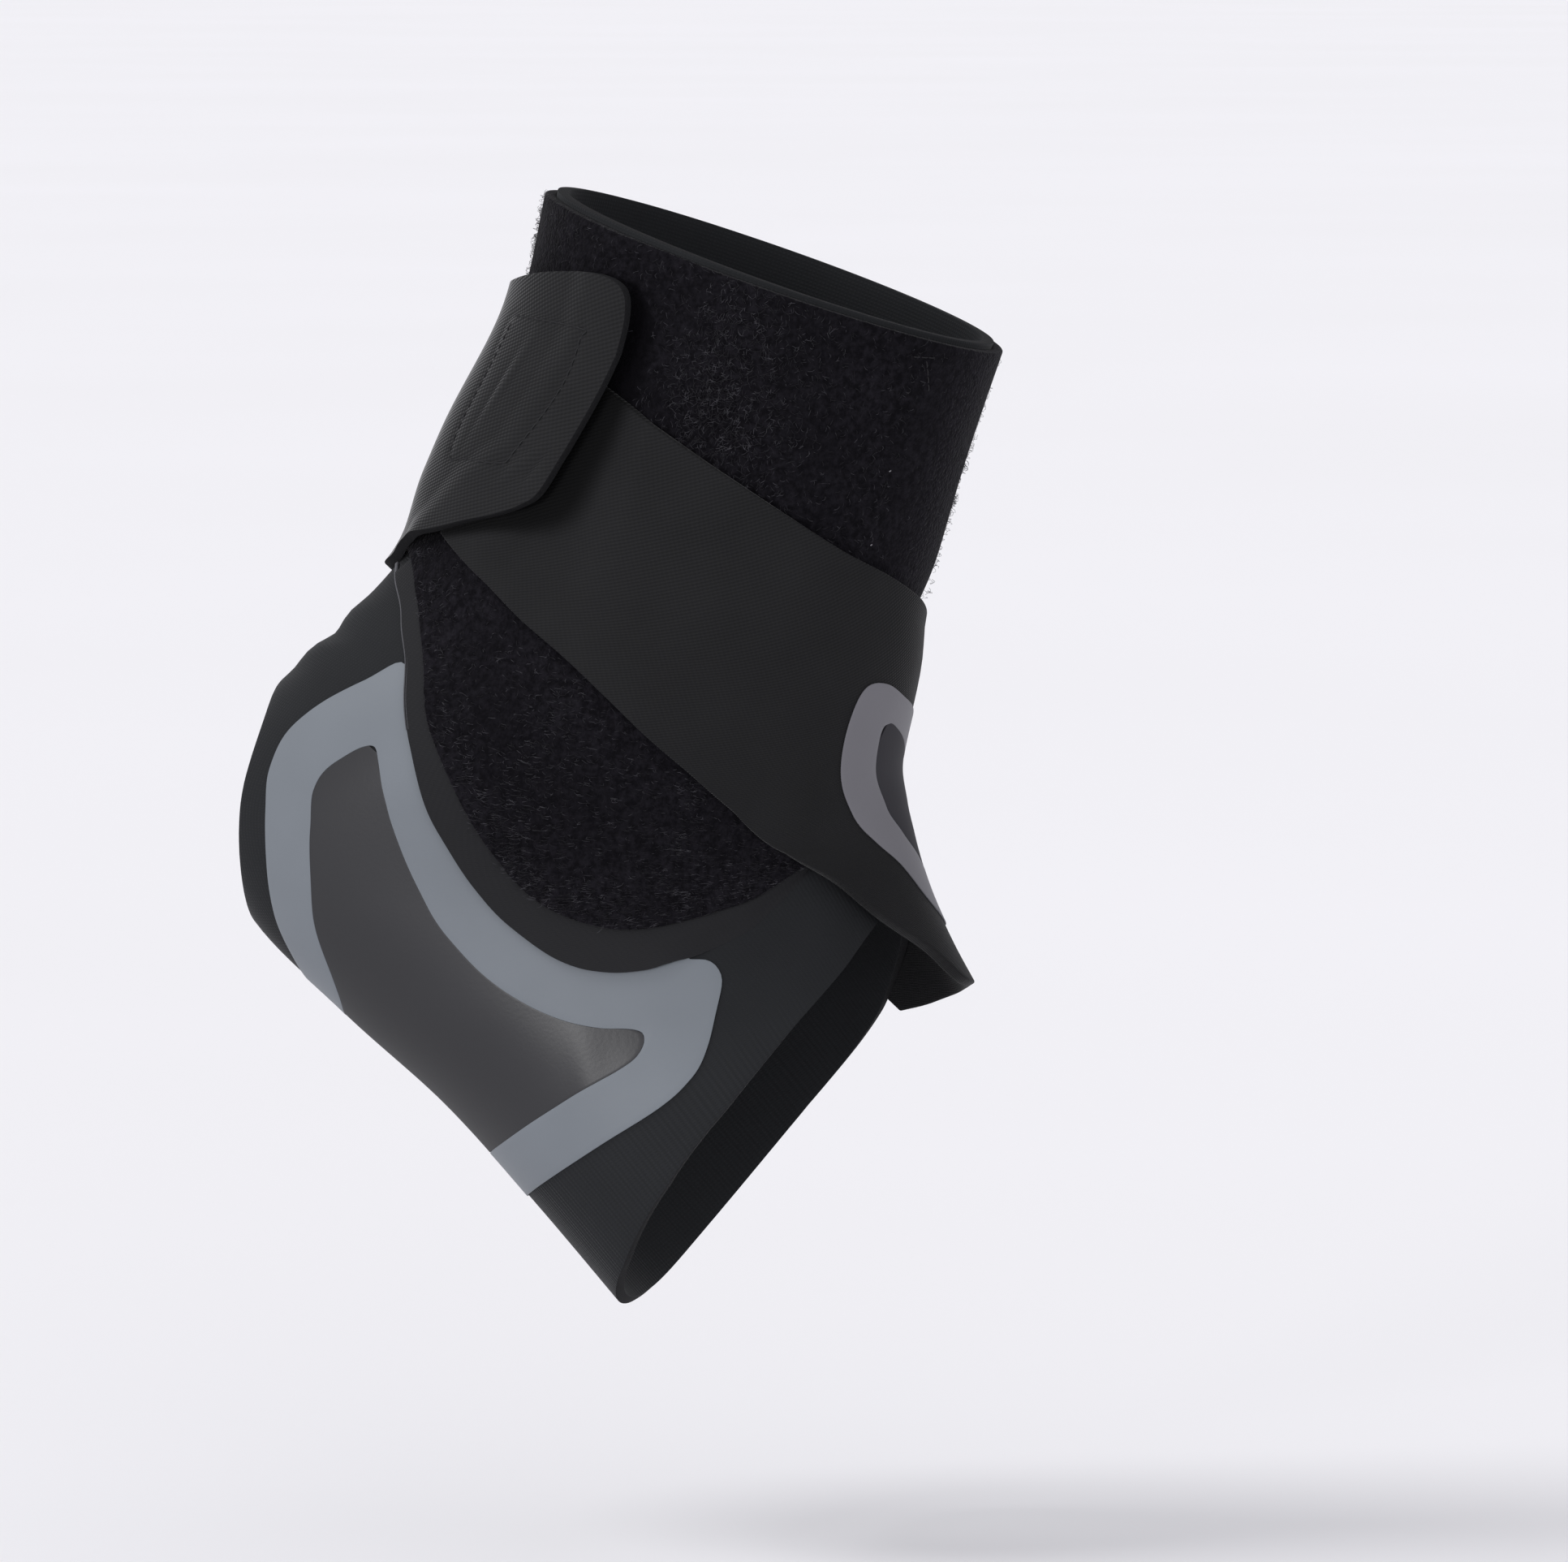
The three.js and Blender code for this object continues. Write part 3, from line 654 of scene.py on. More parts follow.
@material
def stretch_knit(node, rgb, light=1.35, roughness=0.74):
    """Laminated stretch knit: jersey faces bonded to thin foam. Matt and even, with the fine
    columns of the knit just showing, and ribbed where it is stretched at the foot's end."""
    uv = node("UVMap", {}, uv_map="cloth")
    space = node("TexCoord", {}, "Object")
    # Wales of about 0.45 mm and courses of 0.40 mm, drawn at 0.75 and 0.65 mm to show, and ribs
    # at the foot's end, 1 mm apart.
    wales, courses, ribs = (
        node("TexWave", {"Vector": uv, "Scale": WAVE / pitch}, "Fac", bands_direction=way)
        for way, pitch in (("X", 0.75 * MM), ("Y", 0.65 * MM), ("X", 1.0 * MM))
    )
    knit = node("Math", {0: wales, 1: courses}, **TIMES)
    low = node("Attribute", {}, "Fac", attribute_name="along")
    low = node("Math", {0: low, 1: 1.6, 2: -14.9}, **CLAMPED)
    ribs = node("Math", {0: ribs, 1: low}, **TIMES)
    relief = node("Math", {0: ribs, 1: 0.9, 2: knit}, **TIMES_PLUS)
    cloud = node("TexNoise", {"Vector": space, "Scale": 1 / (14 * MM), "Detail": 3})
    tone = node("Math", {0: cloud, 1: 0.6}, **TIMES)
    tone = node("Math", {0: relief, 1: 0.35, 2: tone}, **TIMES_PLUS)
    tint = node("Mix", {0: tone, 6: scaled(rgb, 0.85), 7: scaled(rgb, light)}, 2, **COLOURS)
    normal = node("Bump", {"Height": relief, "Distance": 0.10 * MM, "Strength": 0.5})
    return {
        "Base Color": tint, "Normal": normal, "Roughness": roughness, "Specular IOR Level": 0.10,
        "Sheen Weight": 0.07, "Sheen Roughness": 0.3,
    }


@material
def cut_edge(node):
    """Cut edge of the laminate: the foam core shows as a slightly paler, open grain."""
    grain, tint = speckled(node, 0.5 * MM, 2, linear("#121213"), linear("#252527"))
    normal = node("Bump", {"Height": grain, "Distance": 0.15 * MM, "Strength": 0.6})
    return {"Base Color": tint, "Normal": normal, "Roughness": 0.9, "Specular IOR Level": 0.1}


@material
def loop_pile(node, rgb):
    """Brushed loop pile: a mat of nylon loops that swallows light, near black, with paler tufts
    where it is brushed up and a soft sheen at grazing angles."""
    space = node("TexCoord", {}, "Object")
    # Loops stand about 0.6 mm apart. They gather in tufts, 1.3 mm apart, and in wide patches.
    cells = {"Vector": space, "Scale": 1 / (0.62 * MM), "Smoothness": 0.4}
    loops = node("TexVoronoi", cells, feature="SMOOTH_F1")
    fine = {"Vector": space, "Scale": 1 / (1.3 * MM), "Detail": 4, "Roughness": 0.7}
    tufts = node("TexNoise", fine)
    wide = {"Vector": space, "Scale": 1 / (17 * MM), "Detail": 3, "Roughness": 0.6}
    patches = node("TexNoise", wide)
    height = node("Math", {0: loops, 1: -0.5, 2: tufts}, **TIMES_PLUS)
    tone = node("Math", {0: tufts, 1: 2.4, 2: -0.95}, **CLAMPED)
    patches = node("Math", {0: patches, 1: 1.4}, **TIMES)
    tone = node("Math", {0: tone, 1: patches}, **TIMES)
    # A little paler near the front of the leg: a painted sheen of the pile there.
    front = node("Attribute", {}, "Fac", attribute_name="from_front")
    front = node("Math", {0: front, 1: -11.0, 2: 1.2}, **CLAMPED)
    tone = node("Math", {0: front, 1: 0.28, 2: tone}, **TIMES_PLUS)
    tint = node("Mix", {0: tone, 6: scaled(rgb, 0.9), 7: scaled(rgb, 3.6)}, 2, **COLOURS)
    # Painted shade in the crevice beside the tab's free edge.
    tint = painted_crevice_shade(node, tint, 0.85, scaled(rgb, 0.55))
    normal = node("Bump", {"Height": height, "Distance": 0.45 * MM, "Strength": 0.8})
    return {
        "Base Color": tint, "Normal": normal, "Roughness": 0.95, "Specular IOR Level": 0.02,
        "Sheen Weight": 0.07, "Sheen Roughness": 0.3,
    }


@material
def nylon_loop(node):
    """Loose nylon loops: thin dark filaments, and some painted paler as a painted glint of light.
    """
    space = node("TexCoord", {}, "Object")
    painted_glint = node("TexNoise", {"Vector": space, "Scale": 1 / (1.6 * MM), "Detail": 1})
    painted_glint = node("Math", {0: painted_glint, 1: 5.0, 2: -2.4}, **CLAMPED)
    tint = node("Mix", {0: painted_glint, 6: linear("#1c1b1f"), 7: linear("#454449")}, 2, **COLOURS)
    return {"Base Color": tint, "Roughness": 0.6, "Specular IOR Level": 0.2}


@material
def twill(node, rgb, pitch, turn, light, roughness=0.7, sheen=0.12, dark=0.0):
    """Twill weave: fine slanting ribs of yarn, with a low lustre along the ribs. light is how
    much paler the yarn's top is, and dark how far the painted shade beside the tab darkens it."""
    uv = node("UVMap", {}, uv_map="cloth")
    space = node("TexCoord", {}, "Object")
    slanted, crossing = (
        node("Mapping", {"Vector": uv, "Rotation": (0, 0, math.radians(t))})
        for t in (turn, turn + 74)
    )
    rib = node("TexWave", {"Vector": slanted, "Scale": WAVE / pitch}, "Fac")
    yarn = node("TexWave", {"Vector": crossing, "Scale": WAVE / pitch / 1.15}, "Fac")
    yarn = node("Math", {0: yarn, 1: 0.25}, **TIMES)
    weave = node("Math", {0: rib, 1: 0.75, 2: yarn}, **TIMES_PLUS)
    cloud = node("TexNoise", {"Vector": space, "Scale": 1 / (12 * MM), "Detail": 3})
    tone = node("Math", {0: cloud, 1: 0.45}, **TIMES)
    tone = node("Math", {0: weave, 1: 0.55, 2: tone}, **TIMES_PLUS)
    tint = node("Mix", {0: tone, 6: scaled(rgb, 0.68), 7: scaled(rgb, light)}, 2, **COLOURS)
    # Painted shade in the crevice beside the tab's free edge.
    tint = painted_crevice_shade(node, tint, dark, scaled(rgb, 0.15))
    normal = node("Bump", {"Height": weave, "Distance": 0.12 * MM, "Strength": 0.7})
    return {
        "Base Color": tint, "Normal": normal, "Roughness": roughness, "Specular IOR Level": 0.07,
        "Sheen Weight": sheen, "Sheen Roughness": 0.3,
    }


@material
def hook_tape(node, rgb):
    """Moulded nylon hook tape: a stiff tape with rows of tiny hooks, that gives a dark grain."""
    uv = node("UVMap", {}, uv_map="cloth")
    # Rows of hooks, this far apart each way.
    pitch = 1.2 * MM
    rows, columns = (
        node("TexWave", {"Vector": uv, "Scale": WAVE / pitch}, "Fac", bands_direction=way)
        for way in "XY"
    )
    hooks = node("Math", {0: rows, 1: columns}, **TIMES)
    tint = node("Mix", {0: hooks, 6: scaled(rgb, 0.6), 7: scaled(rgb, 1.5)}, 2, **COLOURS)
    normal = node("Bump", {"Height": hooks, "Distance": 0.3 * MM, "Strength": 0.8})
    return {"Base Color": tint, "Normal": normal, "Roughness": 0.5, "Specular IOR Level": 0.4}


@material
def bonded_film(node, rgb, roughness, specular, worn_sole=0.0):
    """Bonded film: heat-pressed polyurethane, smooth and satin, with the knit's grain faintly
    through it. Towards the sole it can be painted darker, as painted shade, and made duller."""
    _, tint = speckled(node, 22 * MM, 2, scaled(rgb, 0.9), scaled(rgb, 1.1))
    space = node("TexCoord", {}, "Object")
    grain = node("TexNoise", {"Vector": space, "Scale": 1 / (0.7 * MM), "Detail": 2})
    sole = node("Attribute", {}, "Fac", attribute_name="from_front")
    sole = node("Math", {0: sole, 1: 8.0, 2: -2.55}, **CLAMPED)
    sole = node("Math", {0: sole, 1: worn_sole}, **TIMES)
    # Painted shade: the tint darkens towards the sole.
    tint = node("Mix", {0: sole, 6: tint, 7: scaled(rgb, 0.25)}, 2, **COLOURS)
    gloss = node("Math", {0: sole, 1: 0.5, 2: roughness}, **TIMES_PLUS)
    normal = node("Bump", {"Height": grain, "Distance": 0.03 * MM, "Strength": 0.5})
    return {
        "Base Color": tint, "Normal": normal, "Roughness": gloss, "Specular IOR Level": specular,
    }


@material
def sewing_thread(node, rgb, roughness=0.6):
    """Spun polyester thread: round, with a slight lustre."""
    _, tint = speckled(node, 0.4 * MM, 1, scaled(rgb, 0.8), scaled(rgb, 1.4))
    return {"Base Color": tint, "Roughness": roughness, "Specular IOR Level": 0.2}


@material
def matt_paper(node):
    """Matt white paper: gives an even, pale ground with soft shadows."""
    _, tint = speckled(node, 0.6, 2, linear("#efeef0"), linear("#f3f2f5"))
    return {"Base Color": tint, "Roughness": 0.95, "Specular IOR Level": 0.1}


# Pieces


def open_heel(mesh, around, along_):
    """Cuts the opening at the heel, and draws the cut edge onto its ellipse."""
    cu, cw, ru, rw = HEEL

    def reach(v):
        return math.hypot((v[around] - cu) / ru, (v[along_] - cw) / rw)

    inside = [f for f in mesh.faces if sum(reach(v) for v in f.verts) / len(f.verts) < 1.0]
    bmesh.ops.delete(mesh, geom=inside, context="FACES")
    for v in mesh.verts:
        r = reach(v)
        if v.is_boundary and 0.5 < r < 1.4:
            v[around] = cu + (v[around] - cu) / r
            v[along_] = cw + (v[along_] - cw) / r


class BRACE_OT_sleeve(bpy.types.Operator):
    """Stretch sleeve round leg, ankle and foot, with the opening at the heel"""

    bl_idname = "brace.sleeve"
    bl_label = "Stretch sleeve"

    def execute(self, context):
        brace = context.scene.ankle_brace
        rows = [r[0] for r in SLEEVE_END]
        ends = [(r[1],) for r in SLEEVE_END]

        def edges(t):
            low = along(ends, np.interp(t, rows, range(len(rows))))[..., 0]
            return np.stack([t, np.full_like(t, SLEEVE_TOP)], -1), np.stack([t, low], -1)

        made = grid_on_form(
            brace, "sleeve_cloth", edges, (230, 120), creases, closed=True, cut=open_heel
        )
        knit = stretch_knit("laminated stretch knit", brace.knit_colour)
        thicken(made, brace.sleeve_thick, 0.35 * MM, [knit, cut_edge("cut foam edge")])
        worn(made, "sleeve", "stretch_sleeve")
        return {"FINISHED"}


def wrap_edges(t):
    """Upper and lower edge of the wrap, all the way round."""
    ring = np.array(WRAP_LOW[:-1])
    n = len(ring)
    rows = np.array([ring[i % n] + (i // n, 0) for i in range(-1, n + 3)])
    top = np.interp(1 + t * n, range(len(rows)), rows[:, 0])
    return np.stack([top, np.full_like(t, WRAP_TOP)], -1), along(rows, 1 + t * n)


def hair_line(brace, random, u, w, size, rise):
    """One loose loop: its points from root to tip, lying in a random direction."""
    turn, bend = random.uniform(0, 2 * np.pi), random.uniform(-1.2, 1.2)
    steps = np.array([0, 0.35, 0.7, 1.0]) * size
    angle = turn + bend * steps / max(size, 0.1)
    x = np.cumsum(np.concatenate([[0], np.diff(steps)]) * np.cos(angle))
    y = np.cumsum(np.concatenate([[0], np.diff(steps)]) * np.sin(angle))
    lift = np.array([-0.15, rise, rise * random.uniform(0.6, 1.4), rise * random.uniform(-0.4, 1)])
    at = u + x / PILE_TURN, w + y / PILE_SECTION
    return place(brace, *at, brace.pile_top + lift * MM)


# Places where the pile is pulled up: around, along, spread around, spread along, count, rise.
TUFTS = [
    (0.354, 2.80, 0.004, 0.04, 26, 0.9),
    (0.169, 4.60, 0.003, 0.25, 45, 0.45),
    (0.168, 5.20, 0.003, 0.30, 45, 0.45),
    (0.174, 5.90, 0.003, 0.30, 45, 0.45),
    (0.186, 6.60, 0.003, 0.25, 45, 0.45),
    (0.000, 1.30, 0.012, 0.35, 130, 0.8),
    (0.005, 0.70, 0.015, 0.30, 40, 0.6),
    (0.480, 0.45, 0.012, 0.22, 90, 0.7),
    (0.235, 1.30, 0.020, 0.30, 130, 0.45),
    (0.255, 0.80, 0.020, 0.30, 130, 0.45),
]
# Specks of lint: around, along, height over the pile.
LINT = [(0.105, 1.107, 0.4 * MM), (0.101, 1.677, 0.4 * MM), (0.355, 2.788, 0.5 * MM)]


def loose_loops(brace, count, seed):
    """Loose loops and stray hairs that stand out of the pile where it shows."""
    random = np.random.default_rng(seed)
    lines = []
    for au, aw, spread_u, spread_w, number, rise in TUFTS:
        for _ in range(number):
            u, w = random.normal((au, aw), (spread_u, spread_w))
            w = max(w, WRAP_TOP + 0.05)
            size, height = random.uniform(0.5, 1.5), random.uniform(0.2, rise)
            lines.append(hair_line(brace, random, u, w, size, height))
    tries = 4000
    while len(lines) < count:
        t, s = random.random((2, tries))
        a, b = wrap_edges(t)
        u, w = (a + (b - a) * s[:, None]).T
        # The nap is brushed up in patches, and worn smooth near the front.
        brushed = 0.25 + 0.9 * np.exp(-(((u - 0.225) / 0.045) ** 2) - ((w - 0.9) / 0.8) ** 2)
        brushed += 0.55 * np.exp(-(((s - 0.96) / 0.07) ** 2))
        brushed *= 0.3 + 0.7 * smooth(0.07, 0.11, u - np.round(u - 0.3))
        chance = brushed * (b[:, 1] - WRAP_TOP) / WRAP_RUN
        # No loose loops in the painted shade beside the tab.
        shows = ~covered(u, w, -0.02) & (crevice(u, w) <= 0.25)
        keep = shows & (random.random(tries) < chance)
        for k in np.flatnonzero(keep)[: count - len(lines)]:
            size = random.uniform(0.5, 1.3) * (2.0 if random.random() < 0.03 else 1)
            height = random.uniform(0.12, 0.45)
            lines.append(hair_line(brace, random, u[k], w[k], size, height))
    return lines


class BRACE_OT_wrap(bpy.types.Operator):
    """Loop-faced wrap round the leg, with its rounded flap over the outer ankle"""

    bl_idname = "brace.wrap"
    bl_label = "Loop wrap"

    def execute(self, context):
        brace = context.scene.ankle_brace
        base = brace.sleeve_thick + 0.1 * MM
        made = grid_on_form(brace, "wrap_cloth", wrap_edges, (260, 70), level(base), closed=True)
        pile = loop_pile("brushed loop pile", brace.pile_colour)

        def flattened(u, w, s):
            over = smooth(0.02, -0.08, u - lookup(STRAP_HIDDEN, w))
            return 1 - 0.70 * np.maximum(pressed(u, w), 0.85 * dipped(u, w) * over)

        thicken(made, brace.pile_top - base, 0.5 * MM, [pile], flattened)
        worn(made, "pile", "loop_wrap")
        hair = nylon_loop("nylon loop")
        loops = loose_loops(brace, brace.loops, brace.seed)
        nap = worn(strands("wrap_nap", loops, 0.032 * MM, hair), "pile")
        specks = [
            place(brace, np.array([u, u + 0.0012]), np.array([w, w + 0.01]), brace.pile_top + reach)
            for u, w, reach in LINT
        ]
        lint = sewing_thread("cotton lint", linear("#77767a")[:3])
        worn(strands("wrap_lint", specks, 0.11 * MM, lint), "pile")
        # Bar tack near the front of the cuff.
        tack = sewing_thread("tack thread", linear("#1e1d20")[:3])
        on_pile = level(brace.pile_top)
        for name, line in (
            ("cuff_tack_bar", [(0.116, 0.245), (0.104, 0.225), (0.092, 0.205)]),
            ("cuff_tack_stem", [(0.104, 0.25), (0.098, 0.36), (0.091, 0.50)]),
        ):
            worn(stitches(brace, name, line, 1.5 * MM, on_pile, tack, 0.12 * MM), "pile")
        return {"FINISHED"}


class BRACE_OT_margin(bpy.types.Operator):
    """Smooth edge of the flap, between its pile and the ribbon"""

    bl_idname = "brace.margin"
    bl_label = "Flap margin"

    def execute(self, context):
        brace = context.scene.ankle_brace
        gap, lowered, tucked_in = 0.42 * MM, 0.41 * MM, 0.04

        def edges(t):
            outer, inner = ladder(FLAP)(t)
            return outer, inner + (inner - outer) * tucked_in

        def thin(u, w, s):
            """Full at the pile, and feathered out where the flap runs into the foot band."""
            return 1 - smooth(0.22, 0.18, u) * smooth(0.95, 0.0, s) * 0.97

        def under(u, w):
            """A little off the sleeve, and down on it where the flap runs into the foot band."""
            outer = drawn(FLAP, 60, 13, 17)
            reach = np.interp(u, outer[::-1, 0], outer[::-1, 1])
            drop = lowered * smooth(0.22, 0.19, u) * smooth(reach - 0.6, reach - 0.1, w)
            return brace.sleeve_thick + gap - drop

        made = grid_on_form(brace, "flap_edge", edges, (150, 10), under)
        knit = stretch_knit("smooth knit edge", brace.margin_colour, 1.2, 0.7)
        thicken(made, 1.0 * MM, 0.4 * MM, [knit], thin)
        worn(made, "sleeve", "flap_margin")
        # A round cord along the upper part of the edge, for its rolled hem. Its pale colour is a
        # painted highlight where the hem catches the light.
        line = drawn(FLAP, 60, 0, 4.5)[:, :2]
        line = np.concatenate([line[:1] + (line[:1] - line[4:5]) * 1.2, line])
        radius, height = 0.45 * MM, brace.sleeve_thick + 1.05 * MM
        cord = place(brace, line[:, 0] - 0.0005, line[:, 1], height)
        highlight_cord = sewing_thread("knit covered cord", linear("#47474b")[:3], 0.5)
        worn(strands("flap_edge_highlight", [cord], radius, highlight_cord), "sleeve")
        return {"FINISHED"}


def root_seam(rows, t, first=0.06, last=0.94):
    """Line across a strap, near its sewn end."""
    a, b = ladder(rows)(np.full(40, t))
    return [tuple(p) for p in a + (b - a) * np.linspace(first, last, 40)[:, None]]


class BRACE_OT_strap(bpy.types.Operator):
    """Instep strap, from its seam on the inner side of the foot to its end under the tab"""

    bl_idname = "brace.strap"
    bl_label = "Instep strap"

    def execute(self, context):
        brace = context.scene.ankle_brace
        made = grid_on_form(brace, "strap_cloth", ladder(STRAP), (230, 56), strap_under)
        # dark: how deep the painted shade beside the tab's free edge is on the strap.
        looks = {"roughness": 0.78, "dark": 0.9}
        weave = twill("twill elastic", brace.strap_colour, 0.62 * MM, -50, 1.5, **looks)
        thicken(made, brace.strap_top - STRAP_LOW * MM, 0.45 * MM, [weave])
        worn(made, "strap", "instep_strap")
        thread = sewing_thread("sewing thread", brace.thread_colour)
        on_top = on_strap(brace)
        seams = [
            worn(stitches(brace, name, root_seam(STRAP, t), 2.4 * MM, on_top, thread), "strap")
            for name, t in (("strap_seam", 0.975), ("strap_seam_inner", 0.95))
        ]
        return {"FINISHED"}


def tab_under(u, w):
    """Height of the tab's lower face: it rides over the hook tape and the strap's end, and its
    free end stands a little proud."""
    over_hook, on_wrap, on_knit, over_strap, proud = 5.85, 4.25, 2.2, 6.40, 1.1
    flat = over_hook + (on_wrap - over_hook) * smooth(0.44, 0.50, u)
    edge = lookup(WRAP_LOW, u)
    below = smooth(0.405, 0.47, u) * smooth(edge - 0.7, edge + 0.3, w)
    flat = flat - (flat - on_knit) * below
    step = smooth(0, 0.022, u - lookup(STRAP_HIDDEN, w))
    free = proud * smooth(0.36, 0.305, u)
    return (over_strap + (flat - over_strap) * step + free) * MM + tab_dents(u, w)


def tab_dents(u, w):
    """The seam of the hook tape draws the tab in along its outline, and it creases a little."""
    depth, reach = 0.14, 1.1
    t = np.linspace(0, len(PATCH_SEAM), 400, endpoint=False)
    seam = along(PATCH_SEAM, t, closed=True)
    away = millimetres_off(seam, u, w).min(axis=-1)
    groove = -depth * np.exp(-((away / reach) ** 2))
    fold = 0.0
    for au, aw, half_length, half_width, slant, height in TAB_FOLDS:
        x, y = (u - au) * TAB_TURN, (w - aw) * TAB_SECTION
        fold = fold + height * ridge(x, y, half_length, half_width, slant)
    return (groove + fold) * MM


class BRACE_OT_tab(bpy.types.Operator):
    """Closing tab, from its seam on the inner side round the back, with the hook tape under it"""

    bl_idname = "brace.tab"
    bl_label = "Closing tab"

    def execute(self, context):
        brace = context.scene.ankle_brace
        made = grid_on_form(brace, "tab_cloth", ladder(TAB), (190, 90), tab_under)
        weave = twill("twill webbing", brace.tab_colour, 0.68 * MM, -52, 1.9, sheen=0.60)
        # The tab's rim takes the dark cut-edge material, without sheen. Its dark colour is painted
        # shade that deepens the shadow beside the tab.
        thicken(made, brace.tab_thick, 0.6 * MM, [weave, cut_edge("cut foam edge")])
        worn(made, "tab", "closing_tab")
        thread = sewing_thread("sewing thread", brace.thread_colour)

        def on_top(u, w):
            return tab_under(u, w) + brace.tab_thick

        seams = [
            worn(stitches(brace, name, line, pitch, on_top, thread), "tab")
            for name, line, pitch in (
                ("tab_stitches", PATCH_SEAM + PATCH_SEAM[:1], 2.1 * MM),
                ("tab_root_seam", root_seam(TAB, 0.045), 2.4 * MM),
                ("tab_root_seam_inner", root_seam(TAB, 0.085), 2.4 * MM),
            )
        ]
        hooks = grid_on_form(brace, "hook_tape", ladder(HOOK), (40, 40), level(HOOK_LOW * MM))
        tape = hook_tape("nylon hook tape", brace.hook_colour)
        thicken(hooks, 0.9 * MM, 0.2 * MM, [tape])
        worn(hooks, "hook", "hook_patch")
        return {"FINISHED"}


def mirrored(rows):
    """The same outline on the inner side of the foot, put after the outer side's rows."""
    return rows + [(1 - u, w) for u, w in rows[-2:0:-1]]


def eased(rows):
    """Takes the kinks out of an outline on the inner side, where no flap covers it."""
    rows = np.array(rows)
    soft = (np.roll(rows, 1, axis=0) + 2 * rows + np.roll(rows, -1, axis=0)) / 4
    share = smooth(0.50, 0.56, rows[:, :1])
    return [tuple(r) for r in rows + (soft - rows) * share]


# A film lies this far off the cloth under it.
FILM_GAP = 0.03 * MM


def film_under(brace):
    """Height of the lower face of a film on the sleeve."""
    base = brace.sleeve_thick + FILM_GAP
    return lambda u, w: base + creases(u, w)


class BRACE_OT_films(bpy.types.Operator):
    """Bonded ribbon and panel round the heel, and ring on the strap"""

    bl_idname = "brace.films"
    bl_label = "Bonded films"

    def execute(self, context):
        brace = context.scene.ankle_brace
        grey = bonded_film("bonded satin film", brace.ribbon_colour, 0.5, 0.2)
        # The panel is painted darker towards the sole, as painted shade.
        dark = bonded_film("bonded dark film", brace.panel_colour, 0.36, 0.38, worn_sole=0.6)
        pale = bonded_film("bonded pale film", brace.ring_colour, 0.5, 0.2)
        deep = bonded_film("bonded ring film", linear("#323135")[:3], 0.6, 0.05)

        # The ribbon's edge runs on under the flap's, so its upper point comes out sharp.
        tucked = [(r[0] - 0.010, r[1] - 0.02) for r in FLAP[4:14]]
        outer = eased(mirrored(RIBBON_HEEL + tucked + RIBBON_TOE))
        inner = mirrored(RIBBON_INNER)

        def ribbon(t):
            return along(outer, t * len(outer), True), along(inner, t * len(inner), True)

        def panel(t):
            half = 1 - np.abs(1 - 2 * t)
            pair = along(PANEL, half * (len(PANEL) - 1))
            a, b = (along(RIBBON_INNER, pair[..., k]) for k in (0, 1))
            for e in (a, b):
                e[..., 0] = np.where(t > 0.5, 1 - e[..., 0], e[..., 0])
            return a, b

        hollow = [(r[2], r[3]) for r in RING]

        def middle(t):
            far = 0.4 + (len(hollow) / 2 - 0.7) * t
            return along(hollow, far, True), along(hollow, -far - 0.4, True)

        # Ribbon and ring close on themselves. The films inside them are a little thinner.
        ring, cloth, strap = ladder(RING, True), film_under(brace), on_strap(brace, FILM_GAP)
        for name, edges, cells, under, closed, film, slot, node in (
            ("ribbon_film", ribbon, (560, 8), cloth, True, grey, "ribbon_film", "heel_ribbon"),
            ("panel_film", panel, (220, 60), cloth, False, dark, "panel_film", "heel_panel"),
            ("ring_film", ring, (220, 8), strap, True, pale, "ribbon_film", "instep_ring"),
            ("ring_middle_film", middle, (60, 16), strap, False, deep, "panel_film", "ring_panel"),
        ):
            made = grid_on_form(brace, name, edges, cells, under, closed=closed)
            share, rounding = (1.0, 0.12 * MM) if closed else (0.8, 0.10 * MM)
            thicken(made, brace.film_thick * share, rounding, [film])
            worn(made, slot, node)
        return {"FINISHED"}


# Stage


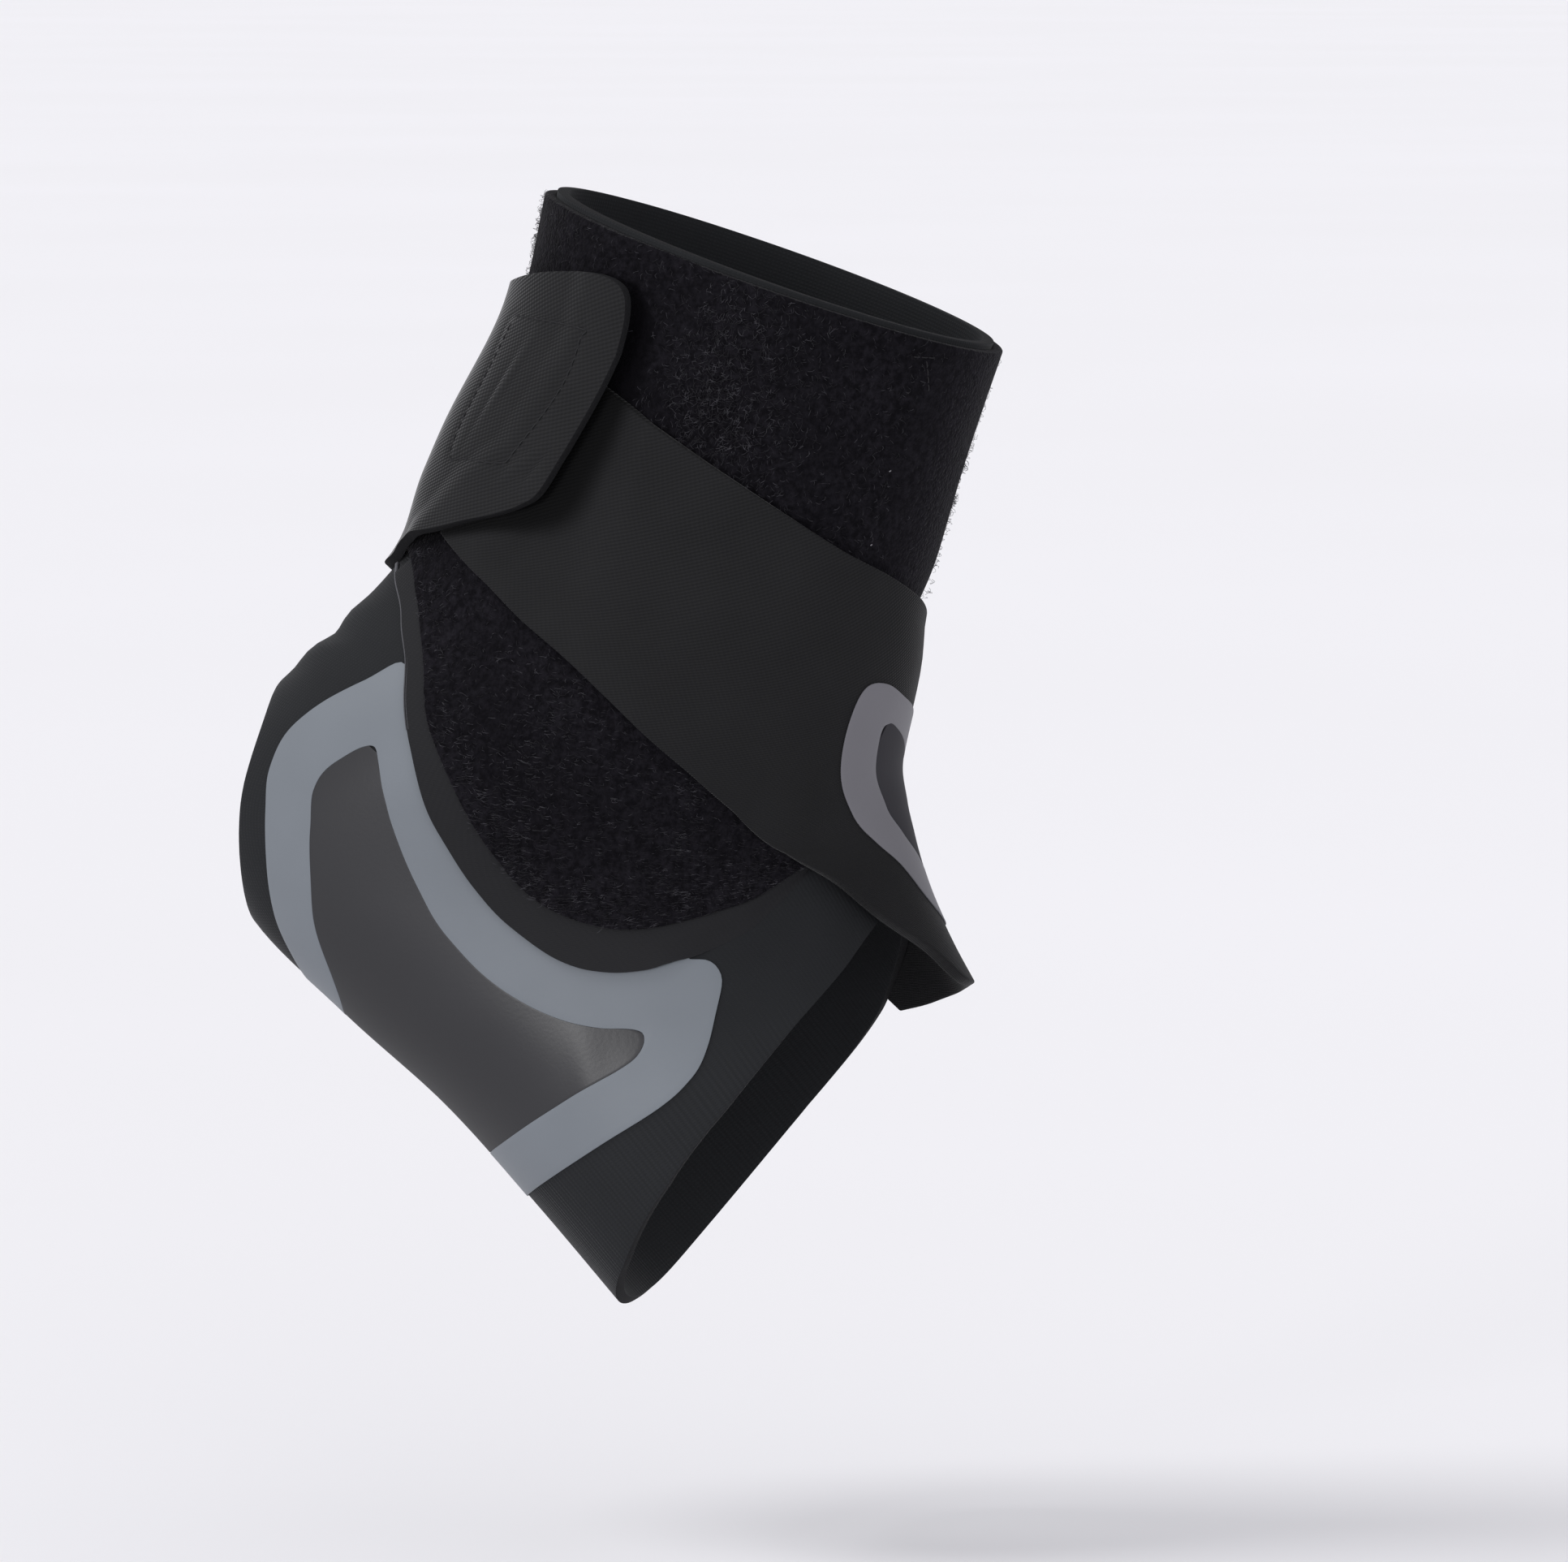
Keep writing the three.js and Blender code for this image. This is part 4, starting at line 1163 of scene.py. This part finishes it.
class BRACE_OT_stage(bpy.types.Operator):
    """Pale floor, soft studio light and the camera"""

    bl_idname = "brace.stage"
    bl_label = "Stage"

    def execute(self, context):
        scene = context.scene
        mesh = bmesh.new()
        bmesh.ops.create_grid(mesh, x_segments=4, y_segments=4, size=40)
        bmesh.ops.translate(mesh, verts=mesh.verts, vec=(0, 0, FLOOR))
        floor = solid("floor", mesh)
        floor.data.materials.append(matt_paper("matt paper"))

        world = bpy.data.worlds.new("studio")
        world.use_nodes = True
        sky = world.node_tree.nodes["Background"]
        sky.inputs["Color"].default_value = linear("#f6f6fa")
        sky.inputs["Strength"].default_value = 0.74
        scene.world = world

        # A broad key from the upper left, a weak fill from the camera's right, and a low light
        # from the front left that gives the films their gloss.
        for name, strength, spread, towards in (
            ("key", 1.05, 24, (0.68, 0.20, -0.90)),
            ("fill", 0.50, 60, (-0.45, 0.88, -0.08)),
            ("gloss", 1.0, 16, (0.43, 0.90, -0.13)),
        ):
            lamp = bpy.data.lights.new(name, "SUN")
            lamp.energy, lamp.angle = strength, math.radians(spread)
            turn = Vector(towards).to_track_quat("-Z", "Y").to_euler()
            linked(name, lamp).rotation_euler = turn

        # The place that the photo was taken from, 1.8 m off, with a long lens.
        lens = bpy.data.cameras.new("camera")
        lens.sensor_width, lens.lens = 36, 223.6
        lens.clip_start, lens.clip_end = 0.1, 200
        camera = linked("camera", lens)
        camera.location = (0.3463, -1.7592, 0.1633)
        aim = Vector((0.03517, 0.00530, -0.00926))
        camera.rotation_euler = (aim - camera.location).to_track_quat("-Z", "Y").to_euler()
        scene.camera = camera
        scene.view_settings.view_transform = "Standard"
        return {"FINISHED"}


class BRACE_PT_panel(bpy.types.Panel):
    """Sidebar panel of the ankle brace"""

    bl_label = "Ankle Brace"
    bl_idname = "BRACE_PT_panel"
    bl_space_type = "VIEW_3D"
    bl_region_type = "UI"
    bl_category = "Ankle Brace"

    def draw(self, context):
        for prop in BraceSettings.__annotations__:
            self.layout.prop(context.scene.ankle_brace, prop)
        for step in STEPS:
            self.layout.operator(step.bl_idname)


STEPS = (
    BRACE_OT_stage,
    BRACE_OT_sleeve,
    BRACE_OT_wrap,
    BRACE_OT_margin,
    BRACE_OT_strap,
    BRACE_OT_tab,
    BRACE_OT_films,
)
CLASSES = (BraceSettings, *STEPS, BRACE_PT_panel)


def register():
    for c in CLASSES:
        bpy.utils.register_class(c)
    bpy.types.Scene.ankle_brace = PointerProperty(type=BraceSettings)


def unregister():
    del bpy.types.Scene.ankle_brace
    for c in reversed(CLASSES):
        bpy.utils.unregister_class(c)


def main():
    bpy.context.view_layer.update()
    register()
    for step in STEPS:
        group, name = step.bl_idname.split(".")
        getattr(getattr(bpy.ops, group), name)()


if __name__ == "__main__":
    main()
